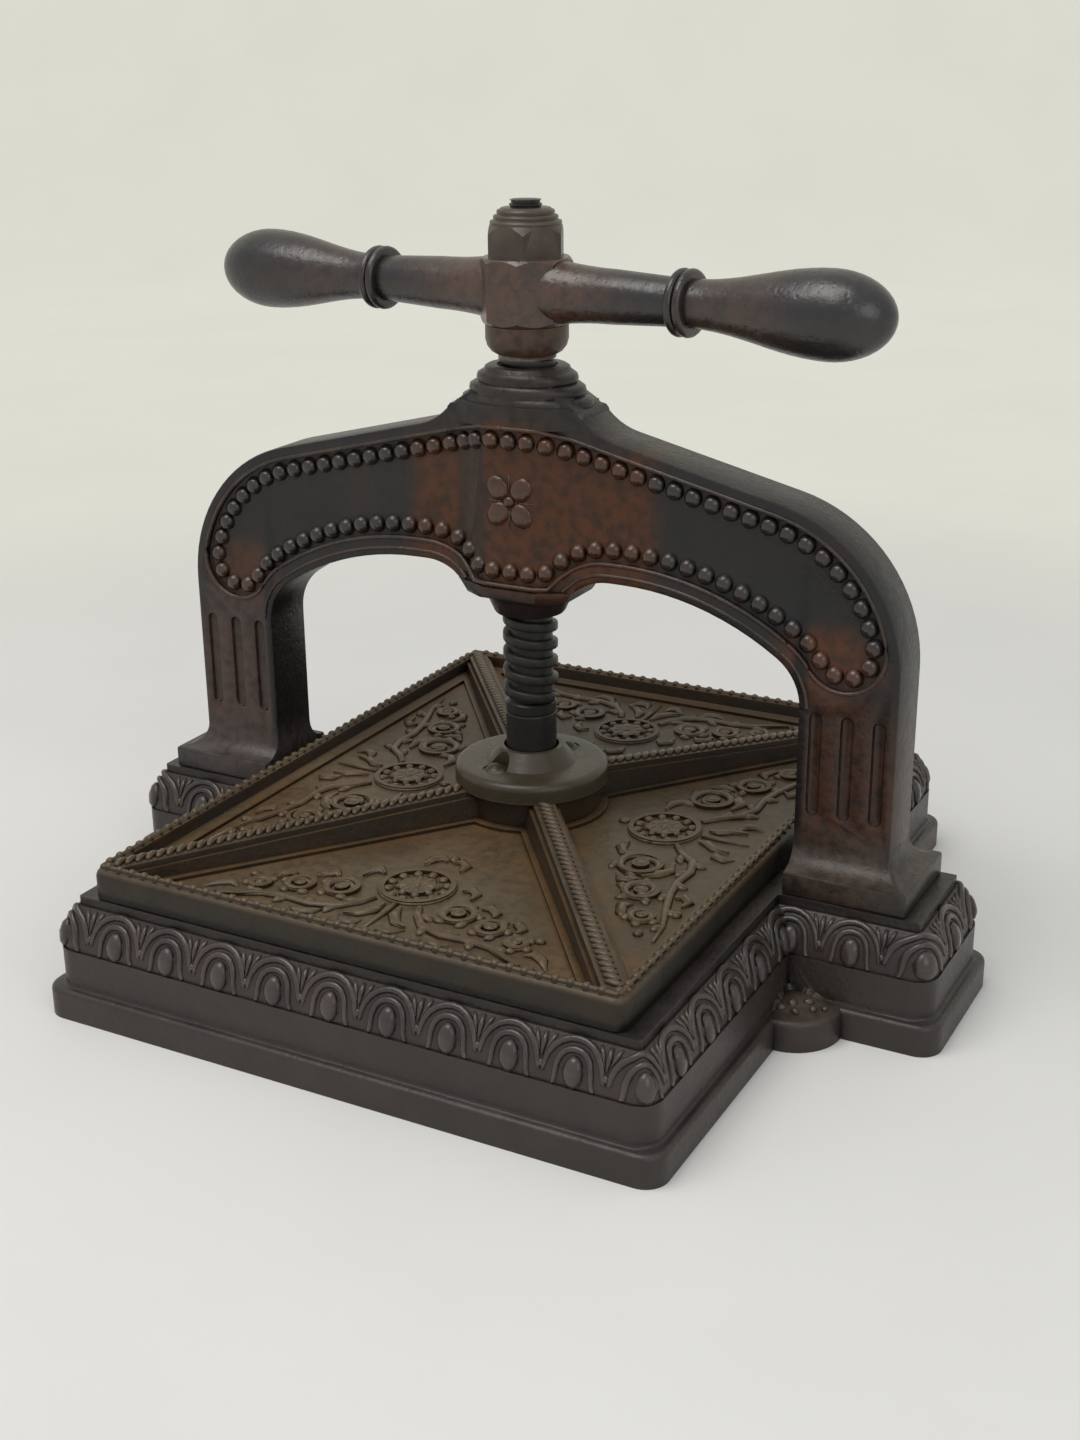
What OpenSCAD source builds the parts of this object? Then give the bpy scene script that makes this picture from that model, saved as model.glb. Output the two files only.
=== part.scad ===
// Cast-iron book press: an arched frame bolted over a hollow moulded base, and a
// screw with a two-armed handle that drives a ribbed platen down onto the bed.
// Millimetres, +Z up. The origin is the middle of the base's underside, +X runs
// along the arch and -Y is the front.

/* [Platen] */
// Width of the platen
platen_w = 255; // [230:1:280]
// Depth of the platen
platen_d = 331; // [300:1:360]
// Thickness of the platen at its edge
platen_t = 14; // [11:0.5:18]
// Radius of the platen's upright corners
platen_corner_r = 5.5; // [5:0.5:12]
// Rounding of the platen's upper edge
platen_round = 4; // [2:0.5:5]
// Width of the raised border
border_w = 6; // [5:0.5:9]
// Depth of the fillet inside the border
fillet_depth = 6.3; // [4:0.1:7.5]
// Width of the fillet along the border
fillet_w = 6.5; // [4:0.5:9]
// Width of the fillet round the hub
hub_fillet_w = 4; // [2:0.5:6]
// Distance of the panels from the ribs' middles
rib_panel_w = 11; // [9.5:0.5:14]
// Depth of the panels below the fillet
panel_step = 1.5; // [1:0.1:2.5]
// Height of the central hub above the platen's underside
hub_h = 20.5; // [19:0.5:28]
// Width of a diagonal rib's crest
rib_crest_w = 10; // [7:0.5:12]
// Depth of the rib's upper flank below its crest
rib_flank_h = 2.6; // [1.5:0.1:3]
// Width of the ledge under that flank
rib_ledge_w = 1.5; // [1:0.5:2]
// Run of a flank for each unit of its depth
rib_flank_run = 0.15; // [0.05:0.05:0.2]
// Height of a rib above the border at its tip
rib_tip_rise = 0.5; // [0.3:0.1:1.5]
// Gap under the closed platen
bed_gap = 0.3; // [0.2:0.1:0.6]
// Radius of the beaded bar on the border
bar_r = 1.5; // [1:0.1:2]
// Distance of that bar's middle from the platen's edge
bar_in = 3.7; // [3:0.1:4.5]
// Distance of the front and back rosettes from their panels' outer edges
front_rosette_in = 49; // [44:0.5:54]
// Distance of the side rosettes from their panels' outer edges
side_rosette_in = 46; // [42:0.5:50]
// Radius of the wreath round a rosette
wreath_r = 16.7; // [14:0.1:19]
// Width of the wreath and of the scrolls' rings
wreath_w = 2.3; // [1.5:0.1:3]
// Radius of a rosette
rosette_r = 8; // [6:0.5:10]
// Height of wreaths, scrolls and rosettes above the panels
relief_h = 1.7; // [1:0.1:2]
// Height of the stems
stem_h = 1.5; // [1:0.1:2]
// Height of the leaves
leaf_h = 1.3; // [0.8:0.1:2]
// Half width of a stem at its thickest
stem_half = 1.3; // [0.8:0.1:2]
// Half width of a leaf at its widest
leaf_half = 1.6; // [1:0.1:2.5]
// Radius of a scroll's eye for each unit of its ring's radius
eye_part = 0.38; // [0.25:0.01:0.5]

/* [Base] */
// Height of the base, from the bench to the bed
base_h = 54.5; // [50:0.5:64]
// Bed left bare at each side of the platen
side_margin = 7.5; // [4:0.5:14]
// Bed left bare in front of and behind the platen
end_margin = 0.5; // [0.5:0.5:10]
// Height of the plinth
plinth_h = 14; // [12:0.5:19]
// Rounding of the plinth's top edge
plinth_round = 2.5; // [1:0.5:3]
// Set-back of the wall from the plinth's face
plinth_step = 4.5; // [3.5:0.5:6]
// Height of the wall between the plinth and the ovolo
wall_h = 18; // [11:0.5:20]
// Ledge between the wall and the foot of the ovolo
ledge_in = 1; // [0.5:0.5:2]
// Set-back of the ovolo from its foot to its top
ovolo_in = 7.5; // [6:0.5:9]
// Height of the plain strip above the ovolo
strip_h = 4; // [2:0.5:6]
// Set-back of that strip from the ovolo
strip_in = 1; // [0.5:0.5:2]
// Rounding of the plinth's upright corners
plinth_corner_r = 10; // [6:0.5:16]
// Rounding of the bed's corners
bed_corner_r = 1; // [0.5:0.5:8]
// Thickness of the side walls
base_wall = 10; // [7:0.5:12]
// Thickness of the bed and of the ears' tops
bed_t = 12; // [9:0.5:15]
// Radius of the lobes in the corners between the ears and the main block
lobe_r = 22; // [17:1:26]
// Radius of the hump on each lobe
hump_r = 15; // [12:0.5:16]
// Height of that hump
hump_h = 5; // [3:0.5:7]
// Pitch of the eggs on the ovolo
egg_pitch = 27.6; // [24:0.1:30]
// Half width of an egg
egg_half = 4.5; // [3:0.1:6]
// Height of an egg above the ovolo
egg_h = 2.3; // [1.5:0.1:3]
// Height of the eggs' middles above the foot of the ovolo
egg_rise = 7; // [5:0.5:10]
// Distance of the first eggs on the sides from the screw's line
egg_side_first = 37.4; // [34:0.1:42]

/* [Arch] */
// Height of the arch frame above the bed
arch_h = 214.5; // [195:0.5:240]
// Room between the platen and each leg
leg_room = 8.5; // [5:0.5:14]
// Width of a leg
leg_w = 43.5; // [38:0.5:50]
// Thickness of the arch from front to back
arch_t = 28; // [25:0.5:34]
// Radius of the shoulders
shoulder_r = 72; // [60:1:80]
// Slope of the top from the shoulders up to the boss, in degrees
top_slope = 13.5; // [10:0.5:16]
// Radius of the hollow sweep from the slope up to the boss
sweep_r = 30; // [22:1:36]
// Distance of that sweep's start from the screw
sweep_x = 48; // [44:1:56]
// Steepest slope of the sweep, in degrees
sweep_steep = 52; // [46:1:58]
// Height of the opening's crown above the shoulders' centres
crown_rise = 26; // [20:0.5:29]
// Distance of the crown from the screw
crown_x = 52; // [48:1:58]
// Radius of the crown
crown_r = 130; // [110:1:150]
// Radius of the opening's outer corners
opening_corner_r = 25; // [20:1:32]
// Radius of the opening beside the boss
throat_r = 25; // [20:1:28]
// Length of the flat between the throat and the crown
crown_flat = 6; // [2:1:10]
// Width of the raised rim along the outer edge
rim_out = 5.5; // [4:0.5:8]
// Width of the raised rim along the opening
rim_in = 9; // [6:0.5:11]
// Depth of the panel below the rim
field_depth = 3; // [2:0.5:4]
// Radius of the panel's round ends above the legs
panel_end_r = 18; // [16:0.5:20]
// Overhang of the feet beyond the legs
foot_out = 12; // [8:0.5:16]
// Height of the feet's upright edge
foot_edge_h = 10.5; // [7:0.5:14]
// Flat ledge left above that edge
foot_lip = 1; // [0.5:0.5:3]
// Bed left bare between a foot and the ear's outer edge
ear_side_margin = 7; // [4:0.5:12]
// Bed left bare in front of and behind a foot
ear_end_margin = 1; // [0.5:0.5:6]
// Number of flutes on each face of a leg
flute_count = 3; // [2:1:3]
// Width of a flute
flute_w = 5; // [4:0.5:6]
// Depth of a flute
flute_depth = 2; // [1:0.5:3]
// Spacing of the flutes
flute_pitch = 14; // [12:0.5:15]
// Height of the flutes' lower ends above the bed
flute_low = 34; // [30:1:38]
// Plain leg left between the flutes and the panel's round end
flute_gap = 11; // [8:0.5:16]

/* [Boss] */
// Height of the boss
boss_h = 112; // [106:0.5:116]
// Height of the cone under the boss's facets
boss_cone_h = 9.5; // [7:0.5:11]
// Height of the neck above the hollow sweep
neck_rise = 13; // [10:0.5:16]
// Width of the boss's flat front facet
facet_w = 26; // [22:1:30]
// Overhang of that facet beyond the arch's face
facet_out = 7; // [5:0.5:9]
// Run of each slanting flank beside the facet
flank_run = 15; // [12:0.5:18]
// Height of the stack of stepped rings above the facet
ring_stack_h = 15; // [12:0.5:18]
// Height of the plain cap between the facet's panel and those rings
facet_cap_h = 9.5; // [7:0.5:12]
// Height of the plain sill under the facet's panel
facet_sill_h = 5.5; // [4:0.5:9]
// Number of stepped rings round the boss's top
ring_count = 4; // [3:1:5]
// Radius of the top ring
ring_top_r = 17; // [16:0.5:18]
// Height of the top ring above the arch's neck
ring_top_h = 4; // [2:0.5:6]
// Set-back of the lowest ring from the facet
ring_in = 0.8; // [0.5:0.1:1.5]
// Radius of the boss's lower rim
boss_low_r = 16; // [15:0.5:18]

/* [Screw] */
// Outside diameter of the screw's thread
screw_d = 25.4; // [22:0.1:28]
// Running clearance of the screw and of its foot, on the radius
run_clear = 0.08; // [0.05:0.01:0.1]
// Diameter of the plain neck above the platen
neck_d = 23.5; // [20:0.5:25]
// Length of the neck above the platen's hub
neck_len = 32; // [26:1:38]
// Thickness of the foot flange
flange_t = 10; // [8:0.5:12]
// Lip of the flange under the keeper
flange_lip = 4; // [3:0.5:6]
// Height of the screw's shoulder above the closed boss
shoulder_gap = 5; // [4:0.5:10]
// Diameter of the shoulder under the handle
shoulder_d = 36.5; // [34:0.5:40]
// Height of that shoulder
collar_h = 13; // [10:0.5:16]
// Rounding of the shoulder's lower edge
collar_round = 5; // [3:0.5:7]
// Width of the square shank
shank_w = 18; // [15:0.5:20]
// Diameter of the threaded end above the shank
stud_d = 17; // [14:0.5:18]
// Length of the threaded end above the handle
stud_len = 23.6; // [21:0.1:28]
// Length of the taper on the threaded end
stud_taper = 2.5; // [1:0.5:4]

/* [Handle] */
// Width of the octagonal hub across its flats
handle_hub_w = 38; // [34:0.5:42]
// Height of the hub
handle_hub_h = 28; // [26:0.5:34]
// Bevel on the hub's upper and lower edges
handle_bevel = 2; // [1:0.5:3]
// Clearance of the shank in the hub on each side
shank_clear = 0.1; // [0.05:0.05:0.2]
// Radius of an arm beside the hub
arm_root_r = 13.5; // [12:0.5:13.5]
// Radius of an arm where its flare ends
arm_waist_r = 11.4; // [10:0.1:12]
// Length of that flare, from inside the hub
arm_flare = 28; // [20:1:34]
// Radius of an arm at its ring
arm_tip_r = 10; // [8:0.5:11]
// Distance of the double ring from the screw
grip_ring_x = 75; // [68:1:84]
// Width of one of the two rings
grip_ring_w = 4; // [3:0.5:6]
// Radius of the rings
grip_ring_r = 14; // [12.5:0.5:16]
// Length of the grip beyond the rings
grip_len = 88; // [76:1:98]
// Largest radius of the grip
grip_r = 18; // [16:0.5:19]
// Distance of that place from the grip's rounded end
grip_belly = 27; // [24:1:32]
// Turn of the handle seen from above, in degrees
handle_turn = -6; // [-45:1:45]
// Width of the nut across its flats
nut_w = 31; // [28:0.5:34]
// Height of the nut's hexagon
nut_h = 14; // [11:0.5:16]
// Height of the dome above the hexagon
nut_dome_h = 6; // [4:0.5:7]
// Bevel of the hexagon's upper corners, inside its flats
nut_bevel = 0.5; // [0.2:0.1:1.5]
// Wall of the dome round the thread at its top
nut_top_wall = 2; // [1:0.5:3]
// Thread clearance on the radius
thread_clear = 0.05; // [0.02:0.01:0.1]

/* [Keeper] */
// Thickness of the keeper plate
keeper_t = 9; // [6:0.5:11]
// Rounding of the keeper's rim
keeper_round = 3.5; // [1:0.5:4.5]
// Clearance of the keeper's hole round the thread, on the radius
keeper_clear = 0.3; // [0.2:0.1:0.6]
// Width of the collar round the hole at its foot
keeper_ring_w = 8; // [6:0.5:9]
// Width of that collar at its top
keeper_ring_top_w = 2; // [1.5:0.5:3]
// Height of that collar
keeper_ring_h = 7.5; // [5:0.5:8]
// Room cut in the collar round each screw head
keeper_head_room = 1.2; // [0.8:0.1:2]
// Depth of the flat seats under the screw heads
keeper_seat = 0.5; // [0.3:0.1:1]
// Plate left outside the screws' centres
keeper_edge = 14.5; // [12:0.5:18]
// Overhang of the keeper beyond the platen's hub
keeper_overhang = 4; // [2:0.5:6]
// Diameter of the keeper screws
keeper_screw_d = 5; // [4:0.5:6]
// Diameter of their heads
keeper_head_d = 10; // [8:0.5:10]
// Height of their heads
keeper_head_h = 3.2; // [2.5:0.1:4]
// Depth of the screws in the hub
keeper_screw_len = 9; // [7:0.5:11]
// Metal left between the socket and the screws
socket_wall = 2; // [1.5:0.5:3]
// Direction of the first keeper screw seen from above, in degrees
keeper_turn = -112; // [-180:1:180]

/* [Leg bolts] */
// Diameter of the bolts
bolt_d = 9.5; // [8:0.5:10]
// Clearance of the bolts in the ears, on the radius
bolt_clear = 0.5; // [0.3:0.1:0.8]
// Spacing of the two bolts under a leg
bolt_pitch = 22; // [20:1:24]
// Depth of the bolts in the foot
bolt_grip = 22; // [18:1:26]
// Width of the bolts' heads across their flats
bolt_head_w = 15; // [13:0.5:16]
// Height of the bolts' heads
bolt_head_h = 6.5; // [5:0.5:8]
// Diameter of the washers
washer_d = 20; // [18:0.5:20]
// Thickness of the washers
washer_t = 2; // [1.5:0.5:3]

/* [Hidden] */
$fn = 96;
// Largest distance of an outline's straight steps from the true arc
arc_error = 0.05;
// Points of an outline closer than this are one point
same_point = 0.001;
// Steps in each curve of the handle's grips
grip_steps = 12;
// Steps in the flare of the handle's arms
flare_steps = 6;
// Overlap of cuts beyond the faces they open
cut = 1;
// Depth of relief below the face that it stands on
relief_sink = 0.7;
// Depth of the foot of the base's cove below the plinth's top
cove_sink = 0.3;
// Depth left free under bolts and screws in their holes
hole_spare = 2;

// Plan of the base, worked out from the platen and the legs
mould_in = plinth_step + ledge_in + ovolo_in + strip_in;
base_corner_r = mould_in + bed_corner_r;
base_w = platen_w + 2 * (side_margin + mould_in);
base_d = platen_d + 2 * (end_margin + mould_in);
leg_in = platen_w / 2 + leg_room;
leg_out = leg_in + leg_w;
leg_mid = (leg_in + leg_out) / 2;
foot_half_d = arch_t / 2 + foot_out;
ear_span = 2 * (leg_out + foot_out + ear_side_margin + mould_in);
ear_d = 2 * (foot_half_d + ear_end_margin + mould_in);

// Fits round the screw
bore_d = screw_d + 2 * run_clear;
keeper_hole_d = screw_d + 2 * keeper_clear;
flange_d = keeper_hole_d + 2 * flange_lip;
socket_d = flange_d + 2 * run_clear;
keeper_screw_hole_d = keeper_screw_d + 2 * thread_clear;
keeper_screw_x = socket_d / 2 + socket_wall + keeper_screw_hole_d / 2;
keeper_d = 2 * (keeper_screw_x + keeper_edge);
platen_hub_d = keeper_d - 2 * keeper_overhang;
rib_tip = [platen_w / 2 - border_w, platen_d / 2 - border_w];
panel_x = platen_w / 2 - border_w - fillet_w;
panel_y = platen_d / 2 - border_w - fillet_w;

// Ovolo of the base and the balls that show on it as eggs
ovolo_low = plinth_h + wall_h;
ovolo_h = base_h - strip_h - ovolo_low;
ovolo_r = (pow(ovolo_h, 2) + pow(ovolo_in, 2)) / (2 * ovolo_in);
ovolo_face = -plinth_step - ledge_in;
egg_r = (pow(egg_half, 2) + pow(egg_h, 2)) / (2 * egg_h);
egg_turn = asin(egg_rise / ovolo_r);
egg_out = ovolo_face - ovolo_r + (ovolo_r - egg_r + egg_h) * cos(egg_turn);
egg_z = ovolo_low + (ovolo_r - egg_r + egg_h) * sin(egg_turn);
egg_front_steps = floor((base_w / 2 - base_corner_r) / egg_pitch);
egg_side_steps = floor((base_d / 2 - base_corner_r - egg_side_first) / egg_pitch);
egg_ear_first = base_w / 2 + ovolo_face;

// Ornament of the panels from the rosette, as [across, outward]
front_stem = [[11, 16.5], [14, 23], [20.6, 30.5], [32, 34.5], [44, 33.5], [56, 35], [66, 40.5], [73, 43.5]];
front_scrolls = [[29, 15, 8.2], [47, 20, 7], [63, 27, 5.4]];
front_leaves = [
    [[19.5, -5], [23, -8], [26.5, -5], [27, 1]],
    [[35.5, 6.5], [38.5, 3.5], [43, 7], [44, 11]],
    [[53.5, 12.5], [56, 11.5], [59.5, 15], [59, 19.5]],
    [[9, -21], [8.5, -27], [4.5, -30.5], [1.5, -27.5]],
    [[4, 20], [5, 27], [9.5, 33], [15, 35]]
];
side_stem = [[14.5, 12.5], [22.5, 19], [28, 26.5], [38, 29.5], [50, 28.5], [62, 30.5], [76, 35], [90, 40]];
side_scrolls = [[40, 6.5, 10.5], [64, 18, 8.4], [86, 28.5, 6]];
side_leaves = [
    [[33, 19.5], [41, 21], [47, 17.5], [51, 12]],
    [[52.5, 1], [57, 5], [56, 9.5], [54, 12]],
    [[20, -8.5], [27, -9], [32, -5.5], [32, 0]],
    [[6.5, 19.5], [6.5, 24], [10.5, 29], [11.5, 36.5]],
    [[64, 34], [61, 37], [65.5, 41], [71, 40]]
];

// Centres and tangent points of the arch's outline, as [x, height above the bed]
slope_n = [sin(top_slope), cos(top_slope)];
neck_h = arch_h - ring_top_h;
slope_start_x = leg_out - shoulder_r + shoulder_r * slope_n[0];
slope_rise = (slope_start_x - sweep_x) * tan(top_slope);
sweep_rise = sweep_r * (cos(top_slope) - cos(sweep_steep));
shoulder_h = neck_h - neck_rise - sweep_rise - slope_rise - shoulder_r * slope_n[1];
shoulder_c = [leg_out - shoulder_r, shoulder_h];
slope_start = shoulder_c + shoulder_r * slope_n;
sweep_foot = [sweep_x, slope_start[1] + slope_rise];
sweep_c = sweep_foot + sweep_r * slope_n;
sweep_top = sweep_c - sweep_r * [sin(sweep_steep), cos(sweep_steep)];
neck_top_x = sweep_top[0] - neck_rise / tan(sweep_steep);
boss_low_h = arch_h - boss_h;
facet_low_h = boss_low_h + boss_cone_h;
facet_panel_low_h = facet_low_h + facet_sill_h;
facet_top_h = arch_h - ring_stack_h;
facet_panel_top_h = facet_top_h - facet_cap_h;
crown_h = shoulder_h + crown_rise;
crown_c = [crown_x, crown_h - crown_r];
throat_c = [crown_x - crown_flat, crown_h - throat_r];
corner_x = leg_in - opening_corner_r;
corner_rise = sqrt(pow(crown_r - opening_corner_r, 2) - pow(corner_x - crown_x, 2));
corner_c = [corner_x, crown_c[1] + corner_rise];
knee = atan2(corner_rise, corner_x - crown_x);
throat_turn = 180 - asin((facet_low_h - throat_c[1]) / throat_r);

// Round ends of the panel, tangent to the shoulder's rim and to the opening's rim
shoulder_to_corner = corner_c - shoulder_c;
panel_end_out = shoulder_r - rim_out - panel_end_r;
panel_end_in = opening_corner_r + rim_in + panel_end_r;
corner_gap = norm(shoulder_to_corner);
corner_dir = shoulder_to_corner / corner_gap;
panel_end_along = (pow(panel_end_out, 2) - pow(panel_end_in, 2) + pow(corner_gap, 2)) / (2 * corner_gap);
panel_end_across = sqrt(pow(panel_end_out, 2) - pow(panel_end_along, 2));
panel_end_c = shoulder_c + panel_end_along * corner_dir + panel_end_across * [-corner_dir[1], corner_dir[0]];
panel_hip = atan2(panel_end_c[1] - shoulder_c[1], panel_end_c[0] - shoulder_c[0]);
panel_knee = atan2(panel_end_c[1] - corner_c[1], panel_end_c[0] - corner_c[0]);
panel_throat_turn = 180 - asin((facet_panel_low_h - throat_c[1]) / (throat_r + rim_in));
flute_len = panel_end_c[1] - panel_end_r - flute_gap - flute_low;

// Heights from the bench
platen_z = base_h + bed_gap;
hub_z = platen_z + hub_h;
socket_z = hub_z - flange_t - run_clear;
collar_z = base_h + arch_h + shoulder_gap;
handle_z = collar_z + collar_h;
nut_z = handle_z + handle_hub_h;

iron = "#4a403a";
dark_iron = "#33302e";
olive_iron = "#5a4f3f";
steel = "#55524e";

function arc(c, r, from, to) =
    let (steps = ceil(abs(to - from) / (2 * acos(1 - arc_error / r))))
    [for (i = [0:steps]) let (a = from + (to - from) * i / steps) c + r * [cos(a), sin(a)]];

// An outline without the points that repeat where two stretches meet
function joined(points) =
    [for (i = [0:len(points) - 1]) if (i == 0 || norm(points[i] - points[i - 1]) > same_point) points[i]];

// A closed outline from its right half
function mirrored(right) =
    let (half = joined(right))
    concat(half, [for (i = [len(half) - 1:-1:0]) [-half[i][0], half[i][1]]]);

// The plinth's section, as [distance out from its face, height]
function plinth_section() = concat(
    [[0, 0]],
    arc([-plinth_round, plinth_h - plinth_round], plinth_round, 0, 90)
);

// The base's moulded section above the plinth, as [distance out from the plinth's face, height]
function base_section() =
    let (cove = plinth_step - plinth_round)
    concat(
        [[cove - plinth_step, plinth_h / 2]],
        arc([cove - plinth_step, plinth_h - cove_sink + cove], cove, 270, 180),
        [[-plinth_step, ovolo_low]],
        arc([ovolo_face - ovolo_r, ovolo_low], ovolo_r, 0, asin(ovolo_h / ovolo_r)),
        [[-mould_in, base_h - strip_h], [-mould_in, base_h]]
    );

// The platen's section, as [distance out from its edge, height]
function platen_section() = concat(
    [[0, 0]],
    arc([-platen_round, platen_t - platen_round], platen_round, 0, 90)
);

// A section moved out to the given distance from the middle
function out_to(half, section) = [for (p = section) [half + p[0], p[1]]];

// Block with the same section on all four sides and round corners
module profiled_block(w, d, corner_r, section) {
    top = section[len(section) - 1][1];
    rotate([90, 0, 0])
        linear_extrude(d - 2 * corner_r, center = true)
            polygon(mirrored(out_to(w / 2, section)));
    rotate([90, 0, 90])
        linear_extrude(w - 2 * corner_r, center = true)
            polygon(mirrored(out_to(d / 2, section)));
    for (sx = [0, 1], sy = [0, 1])
        mirror([sx, 0, 0])
            mirror([0, sy, 0])
                translate([w / 2 - corner_r, d / 2 - corner_r, 0])
                    rotate_extrude(angle = 90)
                        polygon(joined(concat([[0, 0]], out_to(corner_r, section), [[0, top]])));
}

// Plinth-high lobe with a rounded top edge and a low hump
module corner_lobe() {
    dome_r = (pow(hump_r, 2) + pow(hump_h, 2)) / (2 * hump_h);
    rotate_extrude()
        polygon(concat(
            [[0, 0], [lobe_r, 0]],
            arc([lobe_r - plinth_round, plinth_h - plinth_round], plinth_round, 0, 90),
            arc([0, plinth_h + hump_h - dome_r], dome_r, 90 - asin(hump_r / dome_r), 90)
        ));
}

module egg_at(x, y) {
    translate([x, y, egg_z])
        sphere(egg_r, $fn = 16);
}

// The eggs of the carved band, on the straight sides and round the corners
module eggs() {
    bend = (base_corner_r + egg_out) * sqrt(0.5) - base_corner_r;
    for (sx = [-1, 1], sy = [-1, 1]) {
        for (i = [0:egg_side_steps])
            egg_at(sx * (base_w / 2 + egg_out), sy * (egg_side_first + i * egg_pitch));
        for (i = [0, 1])
            egg_at(sx * (egg_ear_first + i * egg_pitch), sy * (ear_d / 2 + egg_out));
        egg_at(sx * (base_w / 2 + bend), sy * (base_d / 2 + bend));
        egg_at(sx * (ear_span / 2 + bend), sy * (ear_d / 2 + bend));
    }
    for (side = [-1, 1]) {
        for (i = [-egg_front_steps:egg_front_steps])
            egg_at(i * egg_pitch, side * (base_d / 2 + egg_out));
        egg_at(side * (ear_span / 2 + egg_out), 0);
    }
}

module at_leg_bolts() {
    for (side = [-1, 1], place = [-1, 1])
        translate([side * leg_mid + place * bolt_pitch / 2, 0, 0])
            children();
}

module base() {
    wall_in = 2 * (plinth_step + base_wall);
    color(iron)
        difference() {
            union() {
                profiled_block(base_w, base_d, plinth_corner_r, plinth_section());
                profiled_block(ear_span, ear_d, plinth_corner_r, plinth_section());
                profiled_block(base_w, base_d, base_corner_r, base_section());
                profiled_block(ear_span, ear_d, base_corner_r, base_section());
                eggs();
                for (sx = [-1, 1], sy = [-1, 1])
                    translate([sx * base_w / 2, sy * ear_d / 2, 0])
                        corner_lobe();
            }
            translate([0, 0, (base_h - bed_t - cut) / 2]) {
                cube([base_w - wall_in, base_d - wall_in, base_h - bed_t + cut], center = true);
                cube([ear_span - wall_in, ear_d - wall_in, base_h - bed_t + cut], center = true);
            }
            at_leg_bolts()
                cylinder(d = bolt_d + 2 * bolt_clear, h = base_h + cut);
        }
}

function arch_half() = concat(
    arc(sweep_c, sweep_r, 270 - sweep_steep, 270 - top_slope),
    arc(shoulder_c, shoulder_r, 90 - top_slope, 0),
    [[leg_out, 0], [leg_in, 0]],
    arc(corner_c, opening_corner_r, 0, knee),
    arc(crown_c, crown_r, knee, 90),
    arc(throat_c, throat_r, 90, throat_turn)
);

// The panel inside the rims, down to its round ends above the legs
function panel_half() =
    let (
        slope_in = shoulder_c + (shoulder_r - rim_out) * slope_n,
        flat_x = slope_in[0] - (facet_panel_top_h - slope_in[1]) / tan(top_slope)
    )
    concat(
        [[flat_x, facet_panel_top_h]],
        arc(shoulder_c, shoulder_r - rim_out, 90 - top_slope, panel_hip),
        arc(panel_end_c, panel_end_r, panel_hip, panel_knee - 180),
        arc(corner_c, opening_corner_r + rim_in, panel_knee, knee),
        arc(crown_c, crown_r + rim_in, knee, 90),
        arc(throat_c, throat_r + rim_in, 90, panel_throat_turn)
    );

// Upright plate drawn in the arch's own plane, centred front to back
module upright(t) {
    rotate([90, 0, 0])
        linear_extrude(t, center = true)
            children();
}

// Flared foot: one section seen from the front crossed with one seen from the side
module foot() {
    flare_r = foot_out - foot_lip;
    flare_top = foot_edge_h + flare_r;
    foot_x = leg_out + foot_out;
    intersection() {
        upright(2 * foot_half_d)
            polygon(concat(
                [[leg_in, 0], [foot_x, 0], [foot_x, foot_edge_h]],
                arc([leg_out + flare_r, flare_top], flare_r, 270, 180),
                [[leg_in, flare_top]]
            ));
        translate([leg_in, 0, 0])
            rotate([90, 0, 90])
                linear_extrude(foot_x - leg_in)
                    polygon(mirrored(concat(
                        [[foot_half_d, 0], [foot_half_d, foot_edge_h]],
                        arc([arch_t / 2 + flare_r, flare_top], flare_r, 270, 180)
                    )));
    }
}

// Eight-sided bulge of the boss, as deep as the given half-thickness of the arch
module bulge(half_t, low, top) {
    facet_y = half_t + facet_out;
    flank_x = facet_w / 2 + flank_run;
    translate([0, 0, low])
        linear_extrude(top - low)
            polygon([
                [facet_w / 2, facet_y], [-facet_w / 2, facet_y], [-flank_x, half_t], [-flank_x, -half_t],
                [-facet_w / 2, -facet_y], [facet_w / 2, -facet_y], [flank_x, -half_t], [flank_x, half_t]
            ]);
}

module boss() {
    rim_y = arch_t / 2;
    round_r = rim_y + facet_out - ring_in;
    ring_step = (round_r - ring_top_r) / (ring_count - 1);
    ring_h = ring_stack_h / ring_count;
    ring_z = [for (i = [0:ring_count]) i == 0 ? facet_panel_top_h : facet_top_h + i * ring_h];
    bulge(rim_y - field_depth, facet_low_h, facet_top_h);
    bulge(rim_y, facet_low_h, facet_panel_low_h);
    bulge(rim_y, facet_panel_top_h, facet_top_h);
    rotate_extrude()
        polygon(concat(
            [[0, facet_panel_top_h]],
            [for (i = [0:ring_count - 1], end = [0, 1]) [round_r - i * ring_step, ring_z[i + end]]],
            [[0, arch_h]]
        ));
    translate([0, 0, boss_low_h])
        cylinder(r1 = boss_low_r, r2 = round_r, h = boss_cone_h);
}

// Neck of the arch beside the boss, rounded off towards the rings
module boss_neck() {
    intersection() {
        upright(arch_t)
            polygon([
                sweep_top, [neck_top_x, neck_h], [-neck_top_x, neck_h], [-sweep_top[0], sweep_top[1]]
            ]);
        translate([0, 0, sweep_top[1]])
            cylinder(r1 = sweep_top[0] + ring_in, r2 = neck_top_x + ring_in, h = neck_rise);
    }
}

// Distance of a flute's middle from the screw
function flute_x(i) = leg_mid + (i - (flute_count - 1) / 2) * flute_pitch;

// One flute, an upright slot with round ends
module flute() {
    upright(2 * flute_depth) {
        translate([0, flute_low + flute_len / 2])
            square([flute_w, flute_len - flute_w], center = true);
        for (end = [flute_low + flute_w / 2, flute_low + flute_len - flute_w / 2])
            translate([0, end])
                circle(d = flute_w);
    }
}

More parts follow.
